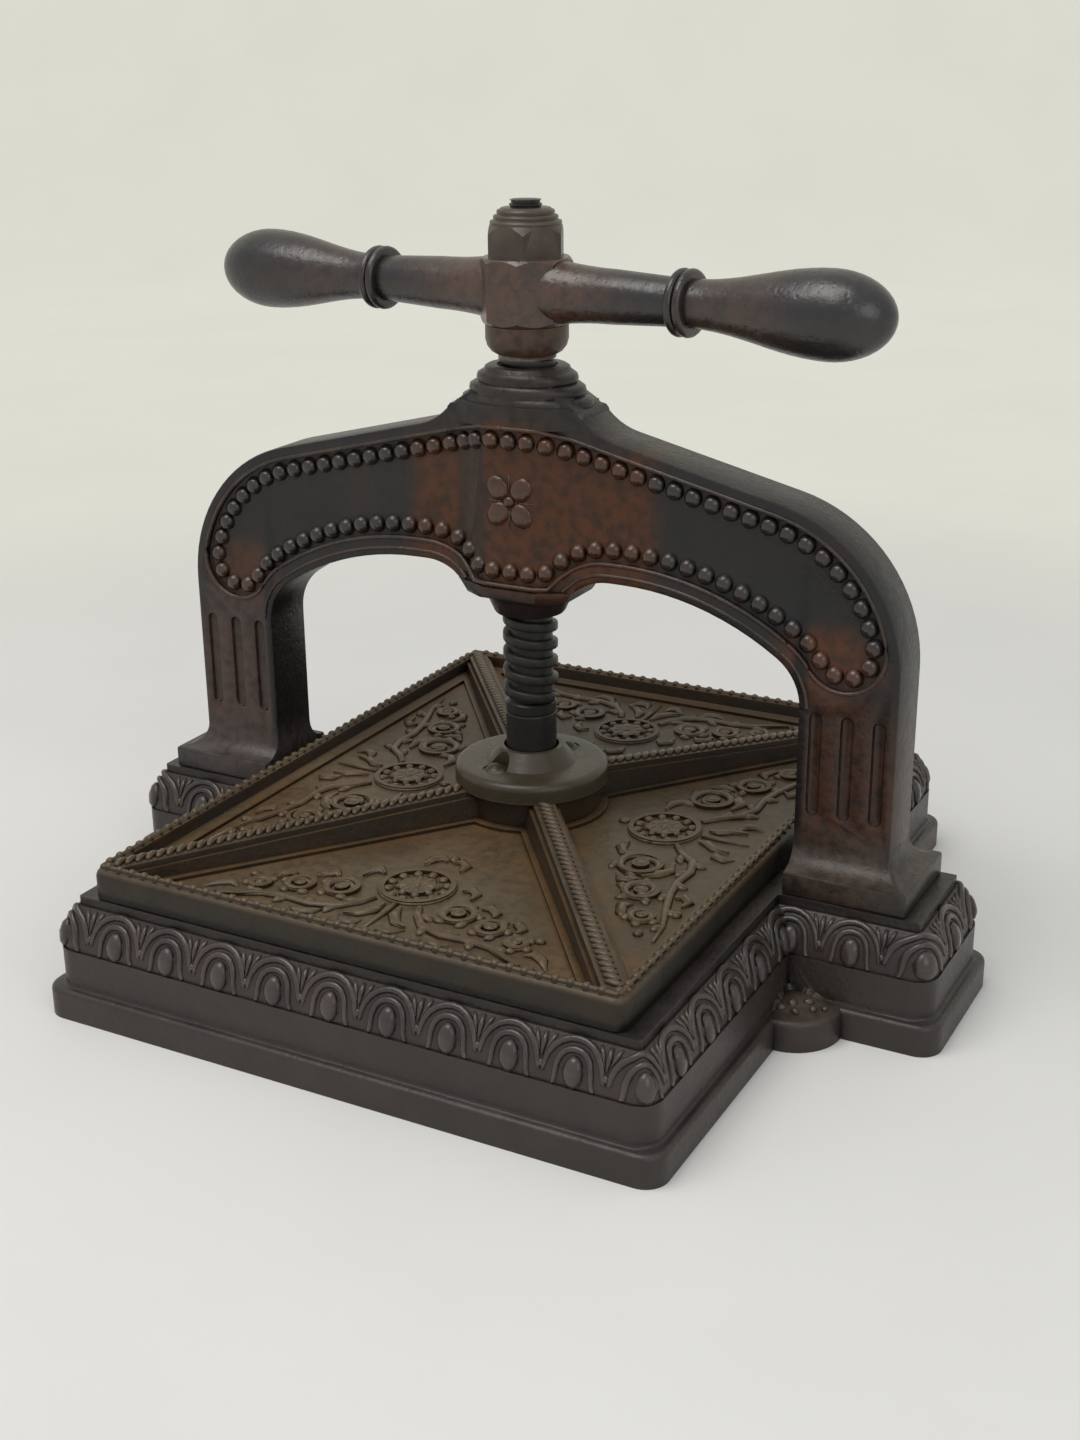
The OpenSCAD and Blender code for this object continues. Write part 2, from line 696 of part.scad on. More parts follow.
module arch_frame() {
    color(dark_iron)
        translate([0, 0, base_h])
            difference() {
                union() {
                    difference() {
                        upright(arch_t)
                            polygon(mirrored(arch_half()));
                        for (face = [-1, 1])
                            translate([0, face * arch_t / 2, 0])
                                upright(2 * field_depth)
                                    polygon(mirrored(panel_half()));
                    }
                    boss();
                    boss_neck();
                    for (side = [0, 1])
                        mirror([side, 0, 0])
                            foot();
                }
                for (side = [-1, 1], face = [-1, 1], i = [0:flute_count - 1])
                    translate([side * flute_x(i), face * arch_t / 2, 0])
                        flute();
                translate([0, 0, boss_low_h - cut])
                    cylinder(d = bore_d, h = boss_h + 2 * cut);
                at_leg_bolts()
                    translate([0, 0, -cut])
                        cylinder(d = bolt_d + 2 * thread_clear, h = cut + bolt_grip + hole_spare);
            }
}

// Hexagon bolt put up through an ear into the foot
module leg_bolt(side, place) {
    seat_z = base_h - bed_t - washer_t;
    color(steel)
        translate([side * (leg_mid + place * bolt_pitch / 2), 0, seat_z]) {
            cylinder(d = bolt_d, h = washer_t + bed_t + bolt_grip);
            translate([0, 0, -bolt_head_h])
                cylinder(d = bolt_head_w / cos(30), h = bolt_head_h, $fn = 6);
        }
}

module leg_washer(side, place) {
    color(steel)
        translate([side * (leg_mid + place * bolt_pitch / 2), 0, base_h - bed_t - washer_t])
            difference() {
                cylinder(d = washer_d, h = washer_t);
                translate([0, 0, -cut])
                    cylinder(d = bolt_d + 2 * thread_clear, h = washer_t + 2 * cut);
            }
}

module left_outer_leg_bolt() { leg_bolt(-1, 1); }
module left_inner_leg_bolt() { leg_bolt(-1, -1); }
module right_inner_leg_bolt() { leg_bolt(1, -1); }
module right_outer_leg_bolt() { leg_bolt(1, 1); }
module left_outer_washer() { leg_washer(-1, 1); }
module left_inner_washer() { leg_washer(-1, -1); }
module right_inner_washer() { leg_washer(1, -1); }
module right_outer_washer() { leg_washer(1, 1); }

module screw() {
    thread_z = hub_z + neck_len;
    color(steel) {
        rotate_extrude()
            polygon(concat(
                [
                    [0, socket_z], [flange_d / 2, socket_z], [flange_d / 2, socket_z + flange_t],
                    [neck_d / 2, socket_z + flange_t], [neck_d / 2, thread_z],
                    [screw_d / 2, thread_z], [screw_d / 2, collar_z]
                ],
                arc([shoulder_d / 2 - collar_round, collar_z + collar_round], collar_round, 270, 360),
                [
                    [shoulder_d / 2, handle_z], [stud_d / 2, handle_z],
                    [stud_d / 2, nut_z + stud_len - stud_taper],
                    [stud_d / 2 - stud_taper, nut_z + stud_len], [0, nut_z + stud_len]
                ]
            ));
        translate([0, 0, handle_z])
            rotate([0, 0, handle_turn])
                translate([-shank_w / 2, -shank_w / 2, 0])
                    cube([shank_w, shank_w, handle_hub_h - thread_clear]);
    }
}

// Outline of one arm from the screw outwards, as [distance from the screw, radius]
function arm_outline() =
    let (
        ring_end = grip_ring_x + 2 * grip_ring_w,
        grip_end = ring_end + grip_len,
        belly_x = grip_end - grip_belly,
        neck_run = belly_x - ring_end,
        ring = grip_ring_w / 2,
        flare_x = handle_hub_w / 2 - handle_bevel
    )
    concat(
        [[0, arm_root_r]],
        [for (i = [0:flare_steps]) let (s = i / flare_steps)
            [flare_x + s * arm_flare, arm_waist_r + (arm_root_r - arm_waist_r) * pow(1 - s, 2)]],
        [[grip_ring_x, arm_tip_r]],
        [for (i = [0, 1]) each arc([grip_ring_x + (2 * i + 1) * ring, grip_ring_r - ring], ring, 180, 0)],
        [for (i = [0:grip_steps]) let (s = i / grip_steps)
            [ring_end + s * neck_run, arm_tip_r + (grip_r - arm_tip_r) * (1 - cos(180 * s)) / 2]],
        [for (i = [1:grip_steps]) let (a = 90 * i / grip_steps)
            [belly_x + grip_belly * sin(a), grip_r * cos(a)]]
    );

module handle() {
    octagon_r = handle_hub_w / 2 / cos(22.5);
    arm = joined(arm_outline());
    hole_w = shank_w + 2 * shank_clear;
    color(dark_iron)
        translate([0, 0, handle_z])
            rotate([0, 0, handle_turn])
                difference() {
                    union() {
                        intersection() {
                            rotate([0, 0, 22.5])
                                cylinder(r = octagon_r, h = handle_hub_h, $fn = 8);
                            rotate_extrude()
                                polygon([
                                    [0, 0], [octagon_r - handle_bevel, 0],
                                    [octagon_r + cut, handle_bevel + cut],
                                    [octagon_r + cut, handle_hub_h - handle_bevel - cut],
                                    [octagon_r - handle_bevel, handle_hub_h], [0, handle_hub_h]
                                ]);
                        }
                        translate([0, 0, handle_hub_h / 2])
                            rotate([0, 90, 0])
                                rotate_extrude()
                                    polygon(concat(
                                        [for (p = arm) [p[1], p[0]]],
                                        [for (i = [len(arm) - 1:-1:1]) [arm[i][1], -arm[i][0]]]
                                    ));
                    }
                    translate([-hole_w / 2, -hole_w / 2, -cut])
                        cube([hole_w, hole_w, handle_hub_h + 2 * cut]);
                }
}

// Hexagon nut with a crowned top
module handle_nut() {
    corner_r = nut_w / 2 / cos(30);
    bevel_r = nut_w / 2 - nut_bevel;
    top_r = stud_d / 2 + thread_clear + nut_top_wall;
    color(steel)
        translate([0, 0, nut_z])
            rotate([0, 0, handle_turn])
                difference() {
                    union() {
                        intersection() {
                            cylinder(r = corner_r, h = nut_h, $fn = 6);
                            cylinder(r1 = corner_r + nut_h / 2, r2 = bevel_r, h = nut_h);
                        }
                        translate([0, 0, nut_h])
                            cylinder(r1 = bevel_r, r2 = top_r, h = nut_dome_h);
                    }
                    translate([0, 0, -cut])
                        cylinder(d = stud_d + 2 * thread_clear, h = nut_h + nut_dome_h + 2 * cut);
                }
}

// Ribs along both diagonals: a sloping crest on flanks with a fillet
module diagonal_ribs() {
    hub_r = platen_hub_d / 2;
    run = norm(rib_tip) - hub_r;
    drop = hub_h - platen_t - rib_tip_rise;
    crest = rib_crest_w / 2;
    flank = crest + rib_flank_h * rib_flank_run;
    foot = flank + rib_ledge_w;
    section = [
        [crest, 0], [flank, -rib_flank_h], [foot, -rib_flank_h],
        [foot + (hub_h - rib_flank_h) * rib_flank_run, -hub_h]
    ];
    for (sx = [0, 1], sy = [0, 1])
        mirror([sx, 0, 0])
            mirror([0, sy, 0])
                rotate([0, 0, atan2(rib_tip[1], rib_tip[0])])
                    translate([hub_r, 0, hub_h])
                        rotate([0, atan2(drop, run), 0])
                            rotate([90, 0, 90])
                                translate([0, 0, -rib_crest_w])
                                    linear_extrude(norm([run, drop]) + rib_crest_w)
                                        polygon(mirrored(section));
}

module at_keeper_screws() {
    for (turn = [0, 180])
        rotate([0, 0, keeper_turn + turn])
            translate([keeper_screw_x, 0, 0])
                children();
}

// The four sunk panels between the ribs, round the hub
module panels() {
    apart = rib_panel_w * norm(rib_tip);
    end_x = (rib_tip[0] * panel_y - apart) / rib_tip[1];
    end_y = (rib_tip[1] * panel_x - apart) / rib_tip[0];
    difference() {
        translate([0, 0, platen_t - fillet_depth - panel_step])
            linear_extrude(panel_step + cut)
                for (turn = [0, 180])
                    rotate(turn) {
                        polygon([[0, apart / rib_tip[0]], [end_x, panel_y], [-end_x, panel_y]]);
                        polygon([[apart / rib_tip[1], 0], [panel_x, end_y], [panel_x, -end_y]]);
                    }
        cylinder(d = platen_hub_d + 2 * hub_fillet_w, h = hub_h);
    }
}

// Direction across a path at one of its points
function across(path, i) =
    let (way = path[min(i + 1, len(path) - 1)] - path[max(i - 1, 0)])
    [-way[1], way[0]] / norm(way);

// Outline of a strip along a path, narrow at its ends
function strip(path, half, tip) =
    let (
        last = len(path) - 1,
        wide = [for (i = [0:last]) (i == 0 || i == last ? tip : half) * across(path, i)]
    )
    concat([for (i = [0:last]) path[i] + wide[i]], [for (i = [last:-1:0]) path[i] - wide[i]]);

module raised(h) {
    translate([0, 0, platen_t - fillet_depth - panel_step - relief_sink])
        linear_extrude(relief_sink + h)
            children();
}

// Rosette in a wreath, with stems, scrolls and leaves to both sides
module ornament(stem, scrolls, leaves) {
    raised(relief_h) {
        difference() {
            circle(wreath_r, $fn = 32);
            circle(wreath_r - wreath_w, $fn = 32);
        }
        circle(rosette_r, $fn = 24);
    }
    for (side = [0, 1])
        mirror([side, 0, 0]) {
            raised(stem_h)
                polygon(strip(stem, stem_half, stem_half / 2));
            for (leaf = leaves)
                raised(leaf_h)
                    polygon(strip(leaf, leaf_half, leaf_half / 4));
            for (scroll = scrolls)
                translate([scroll[0], scroll[1], 0])
                    raised(relief_h) {
                        difference() {
                            circle(scroll[2], $fn = 20);
                            circle(scroll[2] - wreath_w, $fn = 20);
                        }
                        circle(scroll[2] * eye_part, $fn = 16);
                    }
        }
}

// Ornament of all four panels and the beaded bar on the border
module platen_relief() {
    bar = [platen_w / 2 - bar_in, platen_d / 2 - bar_in];
    for (turn = [0, 180])
        rotate(turn) {
            translate([0, panel_y - front_rosette_in, 0])
                ornament(front_stem, front_scrolls, front_leaves);
            rotate(-90)
                translate([0, panel_x - side_rosette_in, 0])
                    ornament(side_stem, side_scrolls, side_leaves);
            translate([bar[0], 0, platen_t])
                rotate([90, 0, 0])
                    cylinder(r = bar_r, h = 2 * bar[1], center = true, $fn = 16);
            translate([0, bar[1], platen_t])
                rotate([0, 90, 0])
                    cylinder(r = bar_r, h = 2 * bar[0], center = true, $fn = 16);
        }
}

module platen() {
    color(olive_iron)
        translate([0, 0, platen_z])
            difference() {
                union() {
                    difference() {
                        profiled_block(platen_w, platen_d, platen_corner_r, platen_section());
                        translate([0, 0, platen_t - fillet_depth])
                            linear_extrude(fillet_depth + cut)
                                square([platen_w - 2 * border_w, platen_d - 2 * border_w], center = true);
                        panels();
                    }
                    intersection() {
                        diagonal_ribs();
                        translate([0, 0, hub_h / 2])
                            cube([platen_w, platen_d, hub_h], center = true);
                    }
                    cylinder(d = platen_hub_d, h = hub_h);
                    platen_relief();
                }
                translate([0, 0, socket_z - platen_z])
                    cylinder(d = socket_d, h = hub_h);
                at_keeper_screws()
                    translate([0, 0, hub_h - keeper_screw_len - hole_spare])
                        cylinder(d = keeper_screw_hole_d, h = hub_h);
            }
}

// Plate screwed down over the flange of the screw's foot
module keeper_plate() {
    hole_r = keeper_hole_d / 2;
    rim_r = keeper_d / 2;
    ring_top = keeper_t + keeper_ring_h;
    seat_d = keeper_head_d + 2 * keeper_head_room;
    color(olive_iron)
        translate([0, 0, hub_z])
            difference() {
                rotate_extrude()
                    polygon(concat(
                        [[hole_r, 0], [rim_r, 0]],
                        arc([rim_r - keeper_round, keeper_t - keeper_round], keeper_round, 0, 90),
                        [
                            [hole_r + keeper_ring_w, keeper_t], [hole_r + keeper_ring_top_w, ring_top],
                            [hole_r, ring_top]
                        ]
                    ));
                at_keeper_screws() {
                    translate([0, 0, -cut])
                        cylinder(d = keeper_screw_hole_d, h = keeper_t + 2 * cut);
                    translate([0, 0, keeper_t - keeper_seat])
                        cylinder(d = seat_d, h = keeper_seat + keeper_ring_h + cut);
                }
            }
}

// Round-headed screw through the keeper into the hub
module keeper_screw(turn) {
    dome_r = (pow(keeper_head_d / 2, 2) + pow(keeper_head_h, 2)) / (2 * keeper_head_h);
    seat_h = keeper_t - keeper_seat;
    color(steel)
        rotate([0, 0, keeper_turn + turn])
            translate([keeper_screw_x, 0, hub_z])
                rotate_extrude()
                    polygon(concat(
                        [[0, -keeper_screw_len], [keeper_screw_d / 2, -keeper_screw_len],
                         [keeper_screw_d / 2, seat_h]],
                        arc([0, seat_h + keeper_head_h - dome_r], dome_r,
                            90 - asin(keeper_head_d / 2 / dome_r), 90)
                    ));
}

module front_keeper_screw() { keeper_screw(0); }
module rear_keeper_screw() { keeper_screw(180); }

base();
arch_frame();
left_outer_leg_bolt();
left_inner_leg_bolt();
right_inner_leg_bolt();
right_outer_leg_bolt();
left_outer_washer();
left_inner_washer();
right_inner_washer();
right_outer_washer();
screw();
handle();
handle_nut();
platen();
keeper_plate();
front_keeper_screw();
rear_keeper_screw();
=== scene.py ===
"""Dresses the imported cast-iron book press: finishes, cast ornament, thread, stage and camera."""
import logging
import math
from dataclasses import dataclass, field
from enum import Enum
from typing import Callable, Sequence

import bmesh
import bpy
from mathutils import Matrix, Vector


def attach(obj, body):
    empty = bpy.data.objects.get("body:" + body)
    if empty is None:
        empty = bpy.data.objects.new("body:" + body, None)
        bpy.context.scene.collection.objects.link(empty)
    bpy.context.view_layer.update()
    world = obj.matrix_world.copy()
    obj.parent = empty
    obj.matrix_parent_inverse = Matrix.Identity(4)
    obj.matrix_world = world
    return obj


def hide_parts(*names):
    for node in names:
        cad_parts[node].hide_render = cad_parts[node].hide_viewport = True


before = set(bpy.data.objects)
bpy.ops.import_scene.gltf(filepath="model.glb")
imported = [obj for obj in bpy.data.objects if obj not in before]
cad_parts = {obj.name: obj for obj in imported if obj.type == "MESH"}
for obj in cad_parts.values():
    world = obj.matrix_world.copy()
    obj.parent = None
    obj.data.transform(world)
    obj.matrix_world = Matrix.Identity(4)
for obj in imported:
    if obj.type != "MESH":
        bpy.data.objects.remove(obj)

LOG = logging.getLogger("book_press")
MM = 0.001
SIDES = (-1.0, 1.0)
Flat = tuple[float, float]
Point = tuple[float, float, float]
Box = tuple[Point, Point]
Surface = Callable[[float, float, float], Vector]
Material = bpy.types.Material
Mesh = bpy.types.Mesh
Node = bpy.types.Node
Socket = bpy.types.NodeSocket
Sockets = bpy.types.bpy_prop_collection
Tree = bpy.types.NodeTree

# Middle and top of the lobes in the base's inner corners.
LOBE: Point = (149.0, 41.0, 14.0)
# Height where the boss's neck starts.
LEDGE_Z = 252.0


class Body(Enum):
    """Moving bodies of the press."""

    FRAME = "frame"
    PLATEN = "platen"
    SCREW = "screw"


class Slot(Enum):
    """Material slot names."""

    BASE = "base_iron"
    ARCH = "arch_iron"
    PLATEN = "platen_iron"
    HANDLE = "handle_iron"
    SCREW = "screw_steel"


class Kind(Enum):
    """Socket types of the node groups."""

    SHAPE = "NodeSocketGeometry"
    NUMBER = "NodeSocketFloat"
    VECTOR = "NodeSocketVector"
    OBJECT = "NodeSocketObject"
    MATERIAL = "NodeSocketMaterial"


def linear(colour: Point) -> tuple[float, float, float, float]:
    """Turns a display colour into scene light.

    Args:
        colour: Red, green and blue from 0 to 255.

    Returns:
        The same colour in linear light, with full cover.
    """
    parts = [c / 255.0 for c in colour]
    light = [p / 12.92 if p <= 0.04045 else ((p + 0.055) / 1.055) ** 2.4 for p in parts]
    return (light[0], light[1], light[2], 1.0)


@dataclass
class Wiring:
    """Adds and joins the nodes of one tree."""

    tree: Tree

    def feed(self, socket: Socket, value: object) -> None:
        """Links a socket to another, or sets its value.

        Args:
            socket: Input to feed.
            value: An output socket, or a plain value.
        """
        if isinstance(value, Socket):
            self.tree.links.new(value, socket)
        else:
            socket.default_value = value

    def add(self, kind: str, feeds: dict | None = None, **settings: object) -> Node:
        """Adds a node.

        Args:
            kind: Node type.
            feeds: Values or sockets by input name or number.
            settings: Properties to set first.

        Returns:
            The node.
        """
        node = self.tree.nodes.new(kind)
        for key, value in settings.items():
            setattr(node, key, value)
        for key, value in (feeds or {}).items():
            self.feed(node.inputs[key], value)
        return node

    def get(self, kind: str, feeds: dict | None = None, **settings: object) -> Socket:
        """Adds a node and returns its first output."""
        return self.add(kind, feeds, **settings).outputs[0]

    def mask(self, group: Tree, feeds: dict) -> Socket:
        """Adds a shader group and returns its first output."""
        return self.get("ShaderNodeGroup", feeds, node_tree=group)

    def math(self, operation: str, first: object, second: object, clamp: bool = False) -> Socket:
        """Joins two values by one operation and returns the result."""
        return self.get("ShaderNodeMath", {0: first, 1: second}, operation=operation, use_clamp=clamp)

    def plus(self, first: object, second: object, clamp: bool = False) -> Socket:
        """Adds two values."""
        return self.math("ADD", first, second, clamp)

    def minus(self, first: object, second: object, clamp: bool = False) -> Socket:
        """Takes the second value from the first."""
        return self.math("SUBTRACT", first, second, clamp)

    def times(self, first: object, second: object, clamp: bool = False) -> Socket:
        """Multiplies two values."""
        return self.math("MULTIPLY", first, second, clamp)

    def vector(self, operation: str, first: object, second: object) -> Node:
        """Joins two vectors by one operation and returns the node."""
        return self.add("ShaderNodeVectorMath", {0: first, 1: second}, operation=operation)

    def length(self, vector: Socket) -> Socket:
        """Gives a vector's length."""
        return self.add("ShaderNodeVectorMath", {0: vector}, operation="LENGTH").outputs["Value"]

    def facing_up(self) -> Socket:
        """Gives how far a face looks up."""
        normal = self.add("ShaderNodeNewGeometry").outputs["Normal"]
        return self.add("ShaderNodeSeparateXYZ", {0: normal}).outputs["Z"]

    def step(self, value: object, low: object, high: object, ends: Flat = (0.0, 1.0)) -> Socket:
        """Ramps a value smoothly between two ends, from low to high."""
        feeds = {0: value, 1: low, 2: high, 3: ends[0], 4: ends[1]}
        return self.get("ShaderNodeMapRange", feeds, interpolation_type="SMOOTHSTEP")

    def blend(self, factor: object, first: object, second: object) -> Socket:
        """Blends two colours and returns the result."""
        return self.add("ShaderNodeMix", {0: factor, 6: first, 7: second}, data_type="RGBA").outputs[2]

    def noise(self, vector: object, scale: float, detail: float, rough: float) -> Socket:
        """Adds fractal noise and returns its value."""
        feeds = {"Vector": vector, "Scale": scale, "Detail": detail, "Roughness": rough}
        return self.add("ShaderNodeTexNoise", feeds).outputs["Fac"]


def new_group(name: str, kind: str, inputs: dict[str, Kind],
              outputs: dict[str, Kind]) -> tuple[Wiring, Sockets, Node]:
    """Makes an empty node group with named sockets.

    Args:
        name: Name of the group.
        kind: Shader or geometry tree type.
        inputs: Socket types by input name.
        outputs: Socket types by output name.

    Returns:
        The wiring, the sockets that bring the inputs and the output node.
    """
    tree = bpy.data.node_groups.new(name, kind)
    for way, sockets in (("INPUT", inputs), ("OUTPUT", outputs)):
        for label, socket in sockets.items():
            tree.interface.new_socket(label, in_out=way, socket_type=socket.value)
    wiring = Wiring(tree)
    return wiring, wiring.add("NodeGroupInput").outputs, wiring.add("NodeGroupOutput")


@dataclass
class ShaderKit:
    """Shader groups that all finishes share."""

    grain: Tree = field(init=False)
    rubbed: Tree = field(init=False)
    hollows: Tree = field(init=False)
    patch: Tree = field(init=False)
    dust: Tree = field(init=False)

    def __post_init__(self) -> None:
        """Builds the groups."""
        self.grain = self._grain()
        self.rubbed = self._occlusion("rubbed_edges", True)
        self.hollows = self._occlusion("grime_and_shade_in_hollows", False)
        self.patch = self._patch()
        self.dust = self._dust()

    @staticmethod
    def _grain() -> Tree:
        """Makes the sand-cast skin.

        Returns:
            A group with a height, a broad mottle, a fine speckle and a skin between them.
        """
        labels = ("Height", "Mottle", "Speckle", "Skin")
        wiring, ins, out = new_group("cast_grain", "ShaderNodeTree", {"Vector": Kind.VECTOR},
                                     dict.fromkeys(labels, Kind.NUMBER))
        at = ins["Vector"]
        mottle = wiring.noise(at, 38.0, 6.0, 0.62)
        speckle = wiring.noise(at, 420.0, 5.0, 0.65)
        skin = wiring.noise(at, 210.0, 3.0, 0.5)
        dents = wiring.times(wiring.noise(at, 75.0, 2.0, 0.45), 1.6)
        cells = wiring.add("ShaderNodeTexVoronoi", {"Vector": at, "Scale": 260.0, "Randomness": 1.0})
        pits = wiring.minus(1.0, wiring.step(cells.outputs["Distance"], 0.05, 0.32))
        rough = wiring.plus(wiring.times(speckle, 0.55), wiring.plus(skin, dents))
        height = wiring.minus(rough, wiring.times(pits, 0.4))
        for label, value in zip(labels, (height, mottle, speckle, skin)):
            wiring.feed(out.inputs[label], value)
        return wiring.tree

    @staticmethod
    def _occlusion(name: str, inside: bool) -> Tree:
        """Makes a mask of edges that stand out, or of hollows.

        Args:
            name: Name of the group.
            inside: True for edges, False for hollows.

        Returns:
            A group with a mask from 0 to 1.
        """
        takes = dict.fromkeys(("Reach", "Gain", "Break"), Kind.NUMBER)
        wiring, ins, out = new_group(name, "ShaderNodeTree", takes, {"Mask": Kind.NUMBER})
        shade = wiring.add("ShaderNodeAmbientOcclusion", {"Distance": ins["Reach"]}, inside=inside,
                           only_local=True, samples=6)
        shut = wiring.minus(wiring.minus(1.0, shade.outputs["AO"]), 0.42 if inside else 0.12, True)
        strong = wiring.times(shut, ins["Gain"], True)
        wiring.feed(out.inputs["Mask"], wiring.times(strong, ins["Break"], True))
        return wiring.tree

    @staticmethod
    def _patch() -> Tree:
        """Makes a ragged patch round a place.

        Returns:
            A group with a mask that is 1 in the patch.
        """
        takes = dict.fromkeys(("Vector", "Centre", "Reach"), Kind.VECTOR)
        takes |= dict.fromkeys(("Edge", "Ragged"), Kind.NUMBER)
        wiring, ins, out = new_group("patch", "ShaderNodeTree", takes, {"Mask": Kind.NUMBER})
        away = wiring.vector("SUBTRACT", ins["Vector"], ins["Centre"]).outputs[0]
        far = wiring.length(wiring.vector("DIVIDE", away, ins["Reach"]).outputs[0])
        wave = wiring.minus(wiring.noise(ins["Vector"], 45.0, 5.0, 0.6), 0.5)
        rough = wiring.plus(far, wiring.times(wave, ins["Ragged"]))
        start, end = wiring.minus(1.0, ins["Edge"]), wiring.plus(1.0, ins["Edge"])
        wiring.feed(out.inputs["Mask"], wiring.step(rough, start, end, (1.0, 0.0)))
        return wiring.tree

    @staticmethod
    def _dust() -> Tree:
        """Makes dust on faces that look up.

        Returns:
            A group with a mask from 0 to 1.
        """
        takes = {"Vector": Kind.VECTOR, "Amount": Kind.NUMBER}
        wiring, ins, out = new_group("dust", "ShaderNodeTree", takes, {"Mask": Kind.NUMBER})
        up = wiring.step(wiring.facing_up(), 0.35, 0.95)
        cloud = wiring.step(wiring.noise(ins["Vector"], 30.0, 6.0, 0.65), 0.35, 0.75)
        wiring.feed(out.inputs["Mask"], wiring.times(wiring.times(up, cloud), ins["Amount"]))
        return wiring.tree


@dataclass(frozen=True)
class Patch:
    """A stain or a painted shade round one place, in millimetres."""

    centre: Point
    reach: Point
    colour: Point
    edge: float = 0.12
    ragged: float = 0.35
    strength: float = 1.0

    def over(self, wiring: Wiring, kit: ShaderKit, at: Socket, skin: Socket, colour: Socket) -> Socket:
        """Lays the stain or painted shade over a colour.

        Args:
            wiring: The material's wiring.
            kit: Shared shader groups.
            at: Place on the object.
            skin: Fine variation of the casting's skin.
            colour: What lies under the stain.

        Returns:
            The stained colour.
        """
        feeds = {"Vector": at, "Centre": Vector(self.centre) * MM, "Reach": Vector(self.reach) * MM,
                 "Edge": self.edge, "Ragged": self.ragged}
        mask = wiring.times(wiring.mask(kit.patch, feeds), self.strength)
        dark = linear(tuple(0.66 * c for c in self.colour))
        tone = wiring.blend(wiring.step(skin, 0.3, 0.62), dark, linear(self.colour))
        return wiring.blend(mask, colour, tone)


